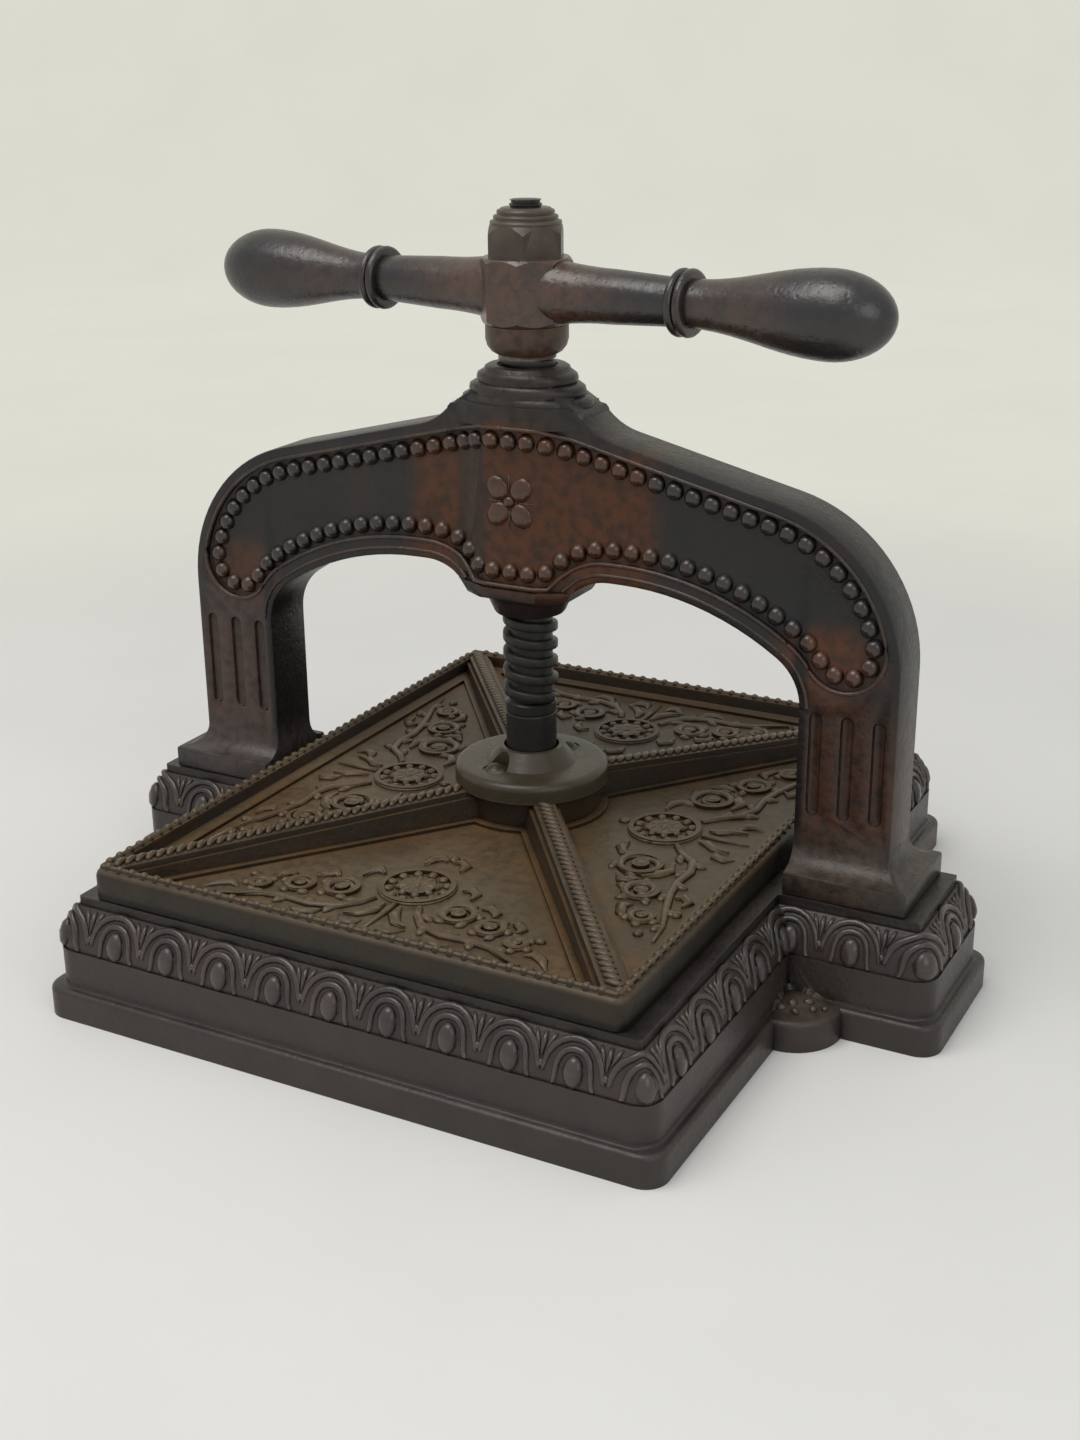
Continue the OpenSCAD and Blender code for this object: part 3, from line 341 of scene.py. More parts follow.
@dataclass(frozen=True)
class IronFinish:
    """Worn paint over cast iron. Colours are display values from 0 to 255."""

    name: str
    base: Point
    second: Point
    worn: Point
    rust: Point
    # Near-black colour of grime with painted shade in hollows; a darker share of it is the painted shade on
    # steep faces.
    grime_and_shade: Point
    roughness: float = 0.5
    worn_roughness: float = 0.42
    rust_level: float = 0.3
    edge_reach: float = 2.2
    edge_gain: float = 2.2
    grime_and_shade_reach: float = 7.0
    grime_and_shade_gain: float = 1.2
    crest_gain: float = 0.7
    dust: float = 0.15
    dust_colour: Point = (120, 110, 98)
    bump: float = 0.35
    bump_depth: float = 0.6
    metal: float = 0.0
    specular: float = 0.35
    coat: float = 0.0
    coat_roughness: float = 0.12
    # Strength of painted shade on steep faces.
    painted_side_shade: float = 0.0
    stain: Point = (0, 0, 0)
    stain_gain: float = 0.0
    patches: tuple[Patch, ...] = ()

    def material(self, kit: ShaderKit) -> Material:
        """Builds the material.

        Args:
            kit: Shared shader groups.

        Returns:
            The material.
        """
        material = bpy.data.materials.new(self.name)
        material.use_nodes = True
        wiring = Wiring(material.node_tree)
        takes = material.node_tree.nodes["Principled BSDF"].inputs
        at = wiring.add("ShaderNodeTexCoord").outputs["Object"]
        grain = wiring.add("ShaderNodeGroup", {"Vector": at}, node_tree=kit.grain).outputs
        mottle, speckle = grain["Mottle"], grain["Speckle"]
        broken = wiring.step(wiring.plus(wiring.times(mottle, 0.6), wiring.times(speckle, 0.4)), 0.34, 0.62)
        edges = wiring.mask(kit.rubbed, {"Reach": self.edge_reach * MM, "Gain": self.edge_gain,
                                         "Break": broken})
        crest = wiring.add("ShaderNodeAttribute", attribute_name="crest").outputs["Fac"]
        top = wiring.step(crest, 0.45, 1.0)
        tips = wiring.times(wiring.times(top, self.crest_gain), wiring.step(mottle, 0.2, 0.6))
        rub = wiring.math("MAXIMUM", edges, tips)
        dust = wiring.mask(kit.dust, {"Vector": at, "Amount": self.dust})
        colour = wiring.blend(rub, self._paint(wiring, kit, at, grain), linear(self.worn))
        wiring.feed(takes["Base Color"], wiring.blend(dust, colour, linear(self.dust_colour)))
        gloss = wiring.plus(self.roughness, wiring.times(wiring.minus(speckle, 0.5), 0.3))
        gloss = wiring.get("ShaderNodeMix", {0: wiring.math("MAXIMUM", rub, top), 2: gloss,
                                             3: self.worn_roughness}, data_type="FLOAT")
        wiring.feed(takes["Roughness"], wiring.plus(gloss, wiring.times(dust, 0.2), True))
        takes["Metallic"].default_value = self.metal
        takes["Specular IOR Level"].default_value = self.specular
        if self.coat:
            wiring.feed(takes["Coat Weight"], wiring.times(wiring.step(crest, 0.1, 0.6), self.coat))
            takes["Coat Roughness"].default_value = self.coat_roughness
        wiring.feed(takes["Normal"], wiring.get("ShaderNodeBump", {
            "Strength": self.bump, "Distance": self.bump_depth * MM, "Height": grain["Height"]}))
        return material

    def _paint(self, wiring: Wiring, kit: ShaderKit, at: Socket, grain: Sockets) -> Socket:
        """Lays paint, rust, stains, grime with painted shade in hollows, and painted shade on steep faces
        over each other.

        Args:
            wiring: The material's wiring.
            kit: Shared shader groups.
            at: Place on the object.
            grain: Outputs of the casting's grain.

        Returns:
            The colour before it is rubbed.
        """
        mottle = grain["Mottle"]
        colour = wiring.blend(wiring.step(mottle, 0.36, 0.66), linear(self.base), linear(self.second))
        rusty = wiring.times(wiring.step(wiring.noise(at, 24.0, 7.0, 0.68), 0.5, 0.74), self.rust_level)
        colour = wiring.blend(rusty, colour, linear(self.rust))
        for patch in self.patches:
            colour = patch.over(wiring, kit, at, grain["Skin"], colour)
        if self.stain_gain:
            near = wiring.mask(kit.hollows, {"Reach": 2.5 * self.grime_and_shade_reach * MM, "Gain": self.stain_gain,
                                             "Break": wiring.step(mottle, 0.38, 0.6)})
            colour = wiring.blend(near, colour, linear(self.stain))
        # Grime with painted shade: hollows found by ambient occlusion are darkened towards a near-black
        # colour.
        deep = wiring.mask(kit.hollows, {"Reach": self.grime_and_shade_reach * MM, "Gain": self.grime_and_shade_gain,
                                         "Break": 1.0})
        colour = wiring.blend(deep, colour, linear(self.grime_and_shade))
        # Painted shade: faces that look sideways or down are darkened, as if turned from the light.
        if self.painted_side_shade:
            steep = wiring.minus(1.0, wiring.step(wiring.facing_up(), 0.25, 0.85))
            colour = wiring.blend(wiring.times(steep, self.painted_side_shade), colour,
                                  linear(tuple(0.6 * c for c in self.grime_and_shade)))
        return colour


class GrowKit:
    """Geometry Nodes trees for what repeats."""

    def __init__(self) -> None:
        """Builds the trees."""
        self.beads = self._balls("bead_row", False)
        self.strands = self._balls("rope_row", True)
        self.ridge = self._ridge()
        self.units = self._units()
        self.thread = self._thread()

    @staticmethod
    def _start(name: str, takes: dict[str, Kind]) -> tuple[Wiring, Sockets, Node]:
        """Starts a tree that takes a shape, some values and a material."""
        sockets = {"Geometry": Kind.SHAPE} | takes | {"Material": Kind.MATERIAL}
        return new_group(name, "GeometryNodeTree", sockets, {"Geometry": Kind.SHAPE})

    @staticmethod
    def _close(wiring: Wiring, ins: Sockets, out: Node, shape: Socket) -> Tree:
        """Ends a tree.

        Args:
            wiring: The tree's wiring.
            ins: The tree's inputs.
            out: The output node.
            shape: What was made.

        Returns:
            The tree.
        """
        real = wiring.get("GeometryNodeRealizeInstances", {0: shape})
        feeds = {"Geometry": real, "Material": ins["Material"]}
        wiring.feed(out.inputs["Geometry"], wiring.get("GeometryNodeSetMaterial", feeds))
        return wiring.tree

    @staticmethod
    def _swept(wiring: Wiring, line: Socket, section: Socket) -> Socket:
        """Sweeps a section along a line and shades it smoothly."""
        feeds = {"Curve": line, "Profile Curve": section, "Fill Caps": True}
        return wiring.get("GeometryNodeSetShadeSmooth", {0: wiring.get("GeometryNodeCurveToMesh", feeds)})

    def _balls(self, name: str, rope: bool) -> Tree:
        """Makes the tree that strings beads on a line, or lays slanted strands along it, as on a rope.

        Args:
            name: Name of the tree.
            rope: True for strands.

        Returns:
            A tree with the size, the pitch, the beads' outward side or the strands' slant, and the material.
        """
        takes = {"Size": Kind.VECTOR, "Pitch": Kind.NUMBER}
        takes |= {"Slant": Kind.NUMBER} if rope else {"Outward": Kind.VECTOR}
        wiring, ins, out = self._start(name, takes)
        line = wiring.get("GeometryNodeMeshToCurve", {0: ins["Geometry"]})
        spaced = wiring.get("GeometryNodeResampleCurve", {"Curve": line, "Length": ins["Pitch"]},
                            mode="LENGTH")
        segments, rings = (8, 6) if rope else (10, 7)
        ball = wiring.get("GeometryNodeMeshUVSphere", {"Segments": segments, "Rings": rings, "Radius": 1.0})
        outward = (0.0, 0.0, 1.0) if rope else ins["Outward"]
        tip = wiring.vector("DOT_PRODUCT", wiring.get("GeometryNodeInputPosition"), outward).outputs["Value"]
        feeds = {"Geometry": ball, "Name": "crest", "Value": tip}
        marked = wiring.get("GeometryNodeStoreNamedAttribute", feeds, data_type="FLOAT", domain="POINT")
        smooth = wiring.get("GeometryNodeSetShadeSmooth", {0: marked})
        feeds = {"Points": spaced, "Instance": smooth, "Scale": ins["Size"]}
        if rope:
            along_line = wiring.get("FunctionNodeAlignRotationToVector", {
                "Vector": wiring.get("GeometryNodeInputTangent")}, axis="X", pivot_axis="AUTO")
            slant = wiring.get("ShaderNodeCombineXYZ", {"Z": ins["Slant"]})
            feeds["Rotation"] = wiring.get("FunctionNodeRotateRotation", {
                "Rotation": along_line, "Rotate By": slant}, rotation_space="LOCAL")
        return self._close(wiring, ins, out, wiring.get("GeometryNodeInstanceOnPoints", feeds))

    def _ridge(self) -> Tree:
        """Makes the tree that runs a round moulding along lines.

        Returns:
            A tree with the moulding's half width and the material.
        """
        wiring, ins, out = self._start("ridge", {"Half Width": Kind.NUMBER})
        line = wiring.get("GeometryNodeMeshToCurve", {0: ins["Geometry"]})
        section = wiring.get("GeometryNodeCurvePrimitiveCircle",
                             {"Resolution": 8, "Radius": ins["Half Width"]})
        return self._close(wiring, ins, out, self._swept(wiring, line, section))

    def _units(self) -> Tree:
        """Makes the tree that sets one carved unit at every point, turned by the point's own turn.

        Returns:
            A tree with the unit and the material.
        """
        wiring, ins, out = self._start("unit_row", {"Unit": Kind.OBJECT})
        unit = wiring.add("GeometryNodeObjectInfo", {"Object": ins["Unit"]}).outputs["Geometry"]
        turn = wiring.add("GeometryNodeInputNamedAttribute", {"Name": "turn"}, data_type="FLOAT")
        spin = wiring.get("ShaderNodeCombineXYZ", {"Z": turn.outputs["Attribute"]})
        return self._close(wiring, ins, out, wiring.get("GeometryNodeInstanceOnPoints", {
            "Points": ins["Geometry"], "Instance": unit, "Rotation": spin}))

    def _thread(self) -> Tree:
        """Makes the tree that winds a square thread.

        Returns:
            A tree with the foot, length, turns, radius and section of the thread and the material.
        """
        takes = {"Foot": Kind.VECTOR}
        takes |= dict.fromkeys(("Length", "Turns", "Radius", "Depth", "Width", "Round"), Kind.NUMBER)
        wiring, ins, out = self._start("square_thread", takes)
        helix = wiring.get("GeometryNodeCurveSpiral", {
            "Resolution": 36, "Rotations": ins["Turns"], "Start Radius": ins["Radius"],
            "End Radius": ins["Radius"], "Height": ins["Length"], "Reverse": False})
        upright = wiring.get("GeometryNodeSetCurveNormal", {"Curve": helix}, mode="Z_UP")
        shape = wiring.get("GeometryNodeCurvePrimitiveQuadrilateral", {
            "Width": ins["Depth"], "Height": ins["Width"]}, mode="RECTANGLE")
        soft = wiring.get("GeometryNodeFilletCurve", {
            "Curve": shape, "Count": 3, "Radius": ins["Round"], "Limit Radius": True}, mode="POLY")
        return self._close(wiring, ins, out, wiring.get("GeometryNodeTransform", {
            "Geometry": self._swept(wiring, upright, soft), "Translation": ins["Foot"]}))

    @staticmethod
    def grow(name: str, mesh: Mesh, tree: Tree, values: dict) -> Mesh:
        """Runs a tree and keeps the result as a plain mesh.

        Args:
            name: Name of the mesh.
            mesh: Lines or points that the tree starts from.
            tree: Geometry Nodes tree.
            values: Values by input name.

        Returns:
            The finished mesh.
        """
        host = linked(name, mesh)
        modifier = host.modifiers.new("grow", "NODES")
        modifier.node_group = tree
        for item in tree.interface.items_tree:
            if item.in_out == "INPUT" and item.name in values:
                modifier[item.identifier] = values[item.name]
        graph = bpy.context.evaluated_depsgraph_get()
        done = bpy.data.meshes.new_from_object(host.evaluated_get(graph), preserve_all_data_layers=True,
                                               depsgraph=graph)
        host.modifiers.clear()
        bpy.data.objects.remove(host)
        done.name = name
        return done


def linked(name: str, data: object) -> bpy.types.Object:
    """Puts a new object in the scene and returns it."""
    made = bpy.data.objects.new(name, data)
    bpy.context.scene.collection.objects.link(made)
    return made


def line_mesh(name: str, lines: Sequence[Sequence[Point]], closed: bool = False) -> Mesh:
    """Makes a mesh of edges from lines in millimetres.

    Args:
        name: Name of the mesh.
        lines: Points of each line.
        closed: True to join each line's ends.

    Returns:
        The mesh.
    """
    places: list[Vector] = []
    edges: list[tuple[int, int]] = []
    for line in lines:
        first = len(places)
        places += [Vector(p) * MM for p in line]
        edges += [(k, k + 1) for k in range(first, len(places) - 1)]
        if closed:
            edges.append((len(places) - 1, first))
    mesh = bpy.data.meshes.new(name)
    mesh.from_pydata(places, edges, [])
    return mesh


def face_mesh(name: str, places: Sequence[Vector], faces: Sequence[tuple[int, ...]],
              material: Material) -> Mesh:
    """Makes a smooth mesh of faces.

    Args:
        name: Name of the mesh.
        places: Points in metres.
        faces: Point numbers of each face.
        material: Its material.

    Returns:
        The mesh.
    """
    mesh = bpy.data.meshes.new(name)
    mesh.from_pydata(places, [], faces)
    mesh.shade_smooth()
    mesh.materials.append(material)
    return mesh


def bridged(one: Sequence[int], two: Sequence[int]) -> list[tuple[int, ...]]:
    """Joins two closed rings of points, of which one may be a single tip.

    Args:
        one: Point numbers of the first ring.
        two: Point numbers of the second ring.

    Returns:
        The faces between them.
    """
    count = max(len(one), len(two))
    faces: list[tuple[int, ...]] = []
    for k in range(count):
        n = (k + 1) % count
        if len(one) == 1:
            faces.append((one[0], two[n], two[k]))
        elif len(two) == 1:
            faces.append((one[k], one[n], two[0]))
        else:
            faces.append((one[k], one[n], two[n], two[k]))
    return faces


def polar(centre: Flat, radius: float, turn: float) -> Flat:
    """Gives a place on a circle, with the turn in degrees."""
    t = math.radians(turn)
    return (centre[0] + radius * math.cos(t), centre[1] + radius * math.sin(t))


def arc(centre: Flat, radius: float, start: float, end: float, steps: int = 16) -> list[Flat]:
    """Gives points on an arc, with angles in degrees."""
    return [polar(centre, radius, start + (end - start) * k / steps) for k in range(steps + 1)]


def along(values: Sequence[float], part: float) -> float:
    """Reads a value from an even list at a part of its length."""
    at = part * (len(values) - 1)
    k = max(0, min(int(at), len(values) - 2))
    return values[0] if len(values) == 1 else values[k] + (values[k + 1] - values[k]) * (at - k)


def sided(path: Sequence[Flat], side: float) -> list[Flat]:
    """Gives a path, mirrored where the side is -1."""
    return [(side * u, v) for u, v in path]


class Clay:
    """Collects carved relief, laid on a surface, as closed pieces. Sizes are millimetres."""

    # Depth of every piece's foot, and a strip's section: across, up and crest.
    sink = 0.6
    section = ((-1.0, -1.0, 0.0), (-0.68, 0.66, 0.45), (0.0, 1.0, 1.0), (0.68, 0.66, 0.45), (1.0, -1.0, 0.0))

    def __init__(self, on: Surface = lambda u, v, h: Vector((u, v, h))) -> None:
        """Starts empty.

        Args:
            on: Surface that turns across, up and height into a place.
        """
        self.on = on
        self.places: list[Vector] = []
        self.faces: list[tuple[int, ...]] = []
        self.crest: list[float] = []

    def _put(self, u: float, v: float, h: float, crest: float) -> int:
        """Keeps one point and returns its number."""
        self.places.append(self.on(u, v, h) * MM)
        self.crest.append(crest)
        return len(self.places) - 1

    def _skin(self, rings: Sequence[Sequence[int]]) -> None:
        """Joins rings of points and closes the first one."""
        self.faces += [face for one, two in zip(rings, rings[1:]) for face in bridged(one, two)]
        self.faces.append(tuple(reversed(rings[0])))

    def stroke(self, path: Sequence[Flat], widths: Sequence[float], heights: Sequence[float]) -> None:
        """Lays a rounded strip along a path.

        Args:
            path: Points across and up the surface.
            widths: Half widths, evenly from the path's start to its end.
            heights: Heights in the same way.
        """
        rings: list[list[int]] = []
        last = len(path) - 1
        for k, (u, v) in enumerate(path):
            ahead, behind = path[min(k + 1, last)], path[max(k - 1, 0)]
            du, dv = ahead[0] - behind[0], ahead[1] - behind[1]
            half = along(widths, k / last) / (math.hypot(du, dv) or 1.0)
            high = along(heights, k / last)
            rings.append([self._put(u - dv * half * across, v + du * half * across,
                                    high * up if up > 0 else -self.sink, crest)
                          for across, up, crest in self.section])
        self._skin(rings)
        self.faces.append(tuple(rings[-1]))

    def dome(self, centre: Flat, half: Flat, height: float, turn: float = 0.0, count: int = 10) -> None:
        """Lays a rounded boss.

        Args:
            centre: Place across and up the surface.
            half: Half sizes across and up.
            height: Height of the top.
            turn: Turn on the surface in degrees.
            count: Points round the boss.
        """
        cos, sin = polar((0.0, 0.0), 1.0, turn)
        turns = [math.tau * k / count for k in range(count)]
        rings: list[list[int]] = []
        for part, h, crest in ((1.0, -self.sink, 0.0), (0.93, 0.38 * height, 0.3), (0.62, 0.8 * height, 0.8)):
            ring = [(half[0] * part * math.cos(t), half[1] * part * math.sin(t)) for t in turns]
            rings.append([self._put(centre[0] + a * cos - b * sin, centre[1] + a * sin + b * cos, h, crest)
                          for a, b in ring])
        rings.append([self._put(*centre, height, 1.0)])
        self._skin(rings)

    def mesh(self, name: str, material: Material) -> Mesh:
        """Makes the mesh.

        Args:
            name: Name of the mesh.
            material: Its material.

        Returns:
            A mesh with faces outward and the crest attribute.
        """
        mesh = face_mesh(name, self.places, self.faces, material)
        mesh.attributes.new("crest", "FLOAT", "POINT").data.foreach_set("value", self.crest)
        work = bmesh.new()
        work.from_mesh(mesh)
        bmesh.ops.recalc_face_normals(work, faces=work.faces)
        work.to_mesh(mesh)
        work.free()
        return mesh


def joined(name: str, meshes: Sequence[Mesh], material: Material) -> Mesh:
    """Joins meshes that share one material.

    Args:
        name: Name of the new mesh.
        meshes: Meshes to join.
        material: Their material.

    Returns:
        The joined mesh.
    """
    work = bmesh.new()
    for mesh in meshes:
        work.from_mesh(mesh)
    for face in work.faces:
        face.material_index = 0
    done = bpy.data.meshes.new(name)
    work.to_mesh(done)
    work.free()
    done.materials.append(material)
    return done


def place(name: str, mesh: Mesh, body: Body, stands_for: Sequence[str] = ()) -> None:
    """Puts a finished piece on a body.

    Args:
        name: Name of the piece.
        mesh: Its mesh, already where it belongs.
        body: Body that carries it.
        stands_for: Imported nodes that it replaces.
    """
    piece = linked(name, mesh)
    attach(piece, body.value)
    if stands_for:
        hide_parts(*stands_for)
    LOG.info("%s: %d faces", name, len(mesh.polygons))


@dataclass
class Casting:
    """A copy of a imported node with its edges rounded."""

    node: str
    body: Body
    slot: Slot
    material: Material
    width: float = 0.0
    angle: float = 30.0
    crease: float = 38.0
    sharp: tuple[Box, ...] = ()
    eased: Callable[[Vector], Vector] | None = None

    def build(self) -> None:
        """Copies the node, merges it and rounds its edges."""
        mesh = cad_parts[self.node].data.copy()
        for layer in ("custom_normal", "sharp_edge", "sharp_face"):
            if layer in mesh.attributes:
                mesh.attributes.remove(mesh.attributes[layer])
        work = bmesh.new()
        work.from_mesh(mesh)
        bmesh.ops.remove_doubles(work, verts=work.verts, dist=2e-6)
        if self.eased:
            for vert in work.verts:
                vert.co = self.eased(vert.co / MM) * MM
            bmesh.ops.dissolve_degenerate(work, edges=work.edges, dist=2e-5)
        if self.width:
            self._round(work)
        work.to_mesh(mesh)
        work.free()
        mesh.shade_smooth()
        mesh.set_sharp_from_angle(angle=math.radians(self.crease))
        mesh.materials.clear()
        mesh.materials.append(self.material)
        place(f"{self.node}_casting", mesh, self.body, [self.node])

    def _round(self, work: bmesh.types.BMesh) -> None:
        """Joins flat faces and bevels the edges that turn sharply.

        Args:
            work: The merged mesh.
        """
        bmesh.ops.dissolve_limit(work, angle_limit=math.radians(0.5), edges=self._free(work),
                                 verts=[v for v in work.verts if not self._kept(v)])
        limit = math.radians(self.angle)
        edges = [e for e in self._free(work) if e.is_manifold and e.calc_face_angle(0.0) > limit]
        bmesh.ops.bevel(work, geom=edges, offset=self.width * MM, offset_type="OFFSET", segments=2,
                        profile=0.5, affect="EDGES", clamp_overlap=False, miter_outer="ARC")

    def _free(self, work: bmesh.types.BMesh) -> list[bmesh.types.BMEdge]:
        """Lists the edges that don't touch a place that stays sharp."""
        return [e for e in work.edges if not any(self._kept(v) for v in e.verts)]

    def _kept(self, vert: bmesh.types.BMVert) -> bool:
        """Tells whether a point lies in a place that stays sharp."""
        return any(all(lo[k] <= vert.co[k] / MM <= hi[k] for k in range(3)) for lo, hi in self.sharp)


def low_hump(at: Vector) -> Vector:
    """Flattens the humps on the base's corner lobes.

    Args:
        at: A point of the base, in millimetres.

    Returns:
        Where the point belongs.
    """
    out, deep, high = abs(at.x) - LOBE[0], abs(at.y) - LOBE[1], at.z - LOBE[2]
    on_hump = math.hypot(out, deep) < 15.3 and min(out, deep) > -4.0 and 0.05 < high < 5.2
    return Vector((at.x, at.y, LOBE[2] + 0.45 * high)) if on_hump else at


def soft_boss(at: Vector) -> Vector:
    """Draws in the boss's sill corners and the top of its neck, as the foundry left them.

    Args:
        at: A point of the arch, in millimetres.

    Returns:
        Where the point belongs.
    """
    sill_z, sill_half, ledge_half = 166.5, 28.0, 31.36
    if abs(at.z - sill_z) < 0.3 and abs(abs(at.x) - sill_half) < 0.3:
        return Vector((0.88 * at.x, at.y, at.z))
    if abs(at.z - LEDGE_Z) < 0.02 and abs(at.x) > sill_half + 0.5:
        return Vector((math.copysign(ledge_half, at.x), at.y, at.z))
    reach, limit = math.hypot(at.x, at.y), 31.4 - 0.985 * (at.z - LEDGE_Z)
    if at.z > LEDGE_Z + 2.2 and reach > max(limit, 18.3):
        return Vector((at.x * limit / reach, at.y * limit / reach, at.z))
    return at


@dataclass
class ArchOrnament:
    """Beads, mouldings and rosette on both faces of the arch. Heights are above the bed."""

    material: Material
    grow: GrowKit
    bed: float = 54.5
    slope: float = 13.5
    shoulder: Flat = (107.5, 98.47)
    shoulder_r: float = 72.0
    bay: Flat = (154.7, 109.5)
    bay_r: float = 18.0
    corner: Flat = (111.0, 81.33)
    corner_r: float = 25.0
    crown: Flat = (52.0, -5.53)
    crown_r: float = 130.0
    throat: Flat = (46.0, 99.47)
    upper_rim: float = 5.5
    lower_rim: float = 9.0
    panel_z: Flat = (119.5, 189.5)
    panel: float = 11.0
    rim: float = 14.0
    bead: Point = (4.3, 3.9, 4.3)
    bead_pitch: float = 8.9
    bead_in: float = 5.6
    hood_lift: float = 3.6
    rosette_z: float = 157.0

    def build(self) -> None:
        """Makes the ornament of both faces."""
        rows, ridges = [], []
        for side in SIDES:
            loop = self._placed(self._loop(self.bead_in), side, self.panel - 0.1)
            rows.append(self.grow.grow("bead_row", line_mesh("bead_line", [loop], True), self.grow.beads, {
                "Size": Vector(self.bead) * MM, "Pitch": self.bead_pitch * MM, "Outward": (0.0, side, 0.0),
                "Material": self.material}))
            edge = [self._placed(self._loop(-0.4), side, self.rim - 0.35)]
            hoods = [self._placed(self._hood(sign), side, self.rim - 0.3) for sign in SIDES]
            for name, lines, closed, half in (("edge", edge, True, 1.0), ("hood", hoods, False, 0.9)):
                mesh = line_mesh(f"{name}_line", lines, closed)
                ridges.append(self.grow.grow(f"{name}_ridge", mesh, self.grow.ridge,
                                             {"Half Width": half * MM, "Material": self.material}))
        for name, mesh in (("arch_beads", joined("arch_beads", rows, self.material)),
                           ("arch_mouldings", joined("arch_mouldings", ridges, self.material)),
                           ("boss_rosettes", self._rosettes()), ("boss_rings", self._rings())):
            place(name, mesh, Body.FRAME)

    def _loop(self, inset: float) -> list[Flat]:
        """Gives the sunk panel's outline, moved inward.

        Args:
            inset: Distance inward from the panel's edge.

        Returns:
            Points of the closed loop.
        """
        rise = 90.0 - self.slope
        outer = self.shoulder_r - self.upper_rim - inset
        run = self.corner_r + self.lower_rim + inset
        low, top = self.panel_z[0] + inset, self.panel_z[1] - inset
        start = polar(self.shoulder, outer, rise)
        reach = (start[1] - top) / math.tan(math.radians(self.slope))
        half = [(0.0, top), (start[0] + reach, top)]
        half += arc(self.shoulder, outer, rise, 13.1)
        half += arc(self.bay, self.bay_r - inset, 13.1, -147.3)
        half += arc(self.corner, run, 32.7, 55.8, 10)
        half += arc(self.crown, self.crown_r + self.lower_rim + inset, 55.8, 90.0)
        half += arc(self.throat, run, 90.0, 180.0 - math.degrees(math.asin((low - self.throat[1]) / run)), 10)
        half += [(0.0, low)]
        return half + [(-x, z) for x, z in reversed(half[1:-1])]

    def _hood(self, sign: float) -> list[Flat]:
        """Gives the fine line that follows the opening on its rim.

        Args:
            sign: -1 for the left opening, 1 for the right.

        Returns:
            Points of the line.
        """
        half = arc(self.corner, self.corner_r + self.hood_lift, 2.0, 55.8, 14)
        half += arc(self.crown, self.crown_r + self.hood_lift, 55.8, 90.0)
        half += arc(self.throat, self.corner_r + self.hood_lift, 90.0, 138.0, 10)
        return [(sign * x, z) for x, z in half]

    def _placed(self, flat: Sequence[Flat], side: float, depth: float) -> list[Point]:
        """Lays a flat line on a face of the arch.

        Args:
            flat: Points across and above the bed.
            side: -1 for the front, 1 for the back.
            depth: Distance from the middle plane where the face is flat.

        Returns:
            Points in the press's frame.
        """
        dense: list[Flat] = []
        for (x, z), (to_x, to_z) in zip(flat, flat[1:]):
            steps = max(1, round(math.hypot(to_x - x, to_z - z) / 3.0))
            dense += [(x + (to_x - x) * k / steps, z + (to_z - z) * k / steps) for k in range(steps)]
        dense.append(flat[-1])
        return [(x, side * (depth + self.bulge(x)), z + self.bed) for x, z in dense]

    @staticmethod
    def bulge(x: float) -> float:
        """Gives how far the boss's face stands out at a place across."""
        return 7.0 * max(0.0, min(1.0, (28.0 - abs(x)) / 15.0))

    def _rings(self) -> Mesh:
        """Models the stack of round rings on the boss, longer along the arch than across it.

        Returns:
            A closed mesh with a hole for the screw.
        """
        count = 72
        profile: list[Point] = []
        for half, deep, z in ((31.2, 20.9, 251.8), (27.2, 20.3, 257.0), (23.2, 19.4, 262.0)):
            profile += [(half - 0.7, deep - 0.5, z), (half, deep, z + 1.6), (half - 0.5, deep - 0.2, z + 3.4),
                        (half - 2.8, deep - 0.9, z + 4.7)]
        profile += [(19.3, 18.2, 267.0), (18.9, 17.9, 268.5), (17.4, 16.8, 269.3), (13.4, 13.4, 269.4),
                    (13.4, 13.4, 250.0)]
        turns = [math.tau * k / count for k in range(count)]
        places = [Vector((half * math.cos(t), deep * math.sin(t), z)) * MM
                  for half, deep, z in profile for t in turns]
        rings = [range(count * k, count * (k + 1)) for k in range(len(profile))]
        faces = [face for one, two in zip(rings, rings[1:] + rings[:1]) for face in bridged(one, two)]
        mesh = face_mesh("boss_rings", places, faces, self.material)
        mesh.set_sharp_from_angle(angle=math.radians(70))
        return mesh

    def _rosettes(self) -> Mesh:
        """Models a plain four-leaved rosette on each face of the boss.

        Returns:
            The mesh of both rosettes.
        """
        clay = Clay()
        middle, quarters = (0.0, self.rosette_z), (0.0, 90.0, 180.0, 270.0)
        for side in SIDES:
            clay.on = self._face(side)
            for turn in quarters:
                clay.dome(polar(middle, 8.2, turn + 45.0), (6.4, 5.4), 1.7, turn + 45.0)
            clay.dome(middle, (2.8, 2.8), 2.1)
            for turn in quarters:
                clay.stroke([polar(middle, r, turn) for r in (4.0, 12.0)], [0.6, 1.5, 0.3], [0.9, 1.1, 0.2])
        return clay.mesh("boss_rosettes", self.material)

    def _face(self, side: float) -> Surface:
        """Gives the boss's face on one side as a surface."""
        return lambda u, v, h: Vector((u, side * (self.panel + self.bulge(u) + h), v + self.bed))


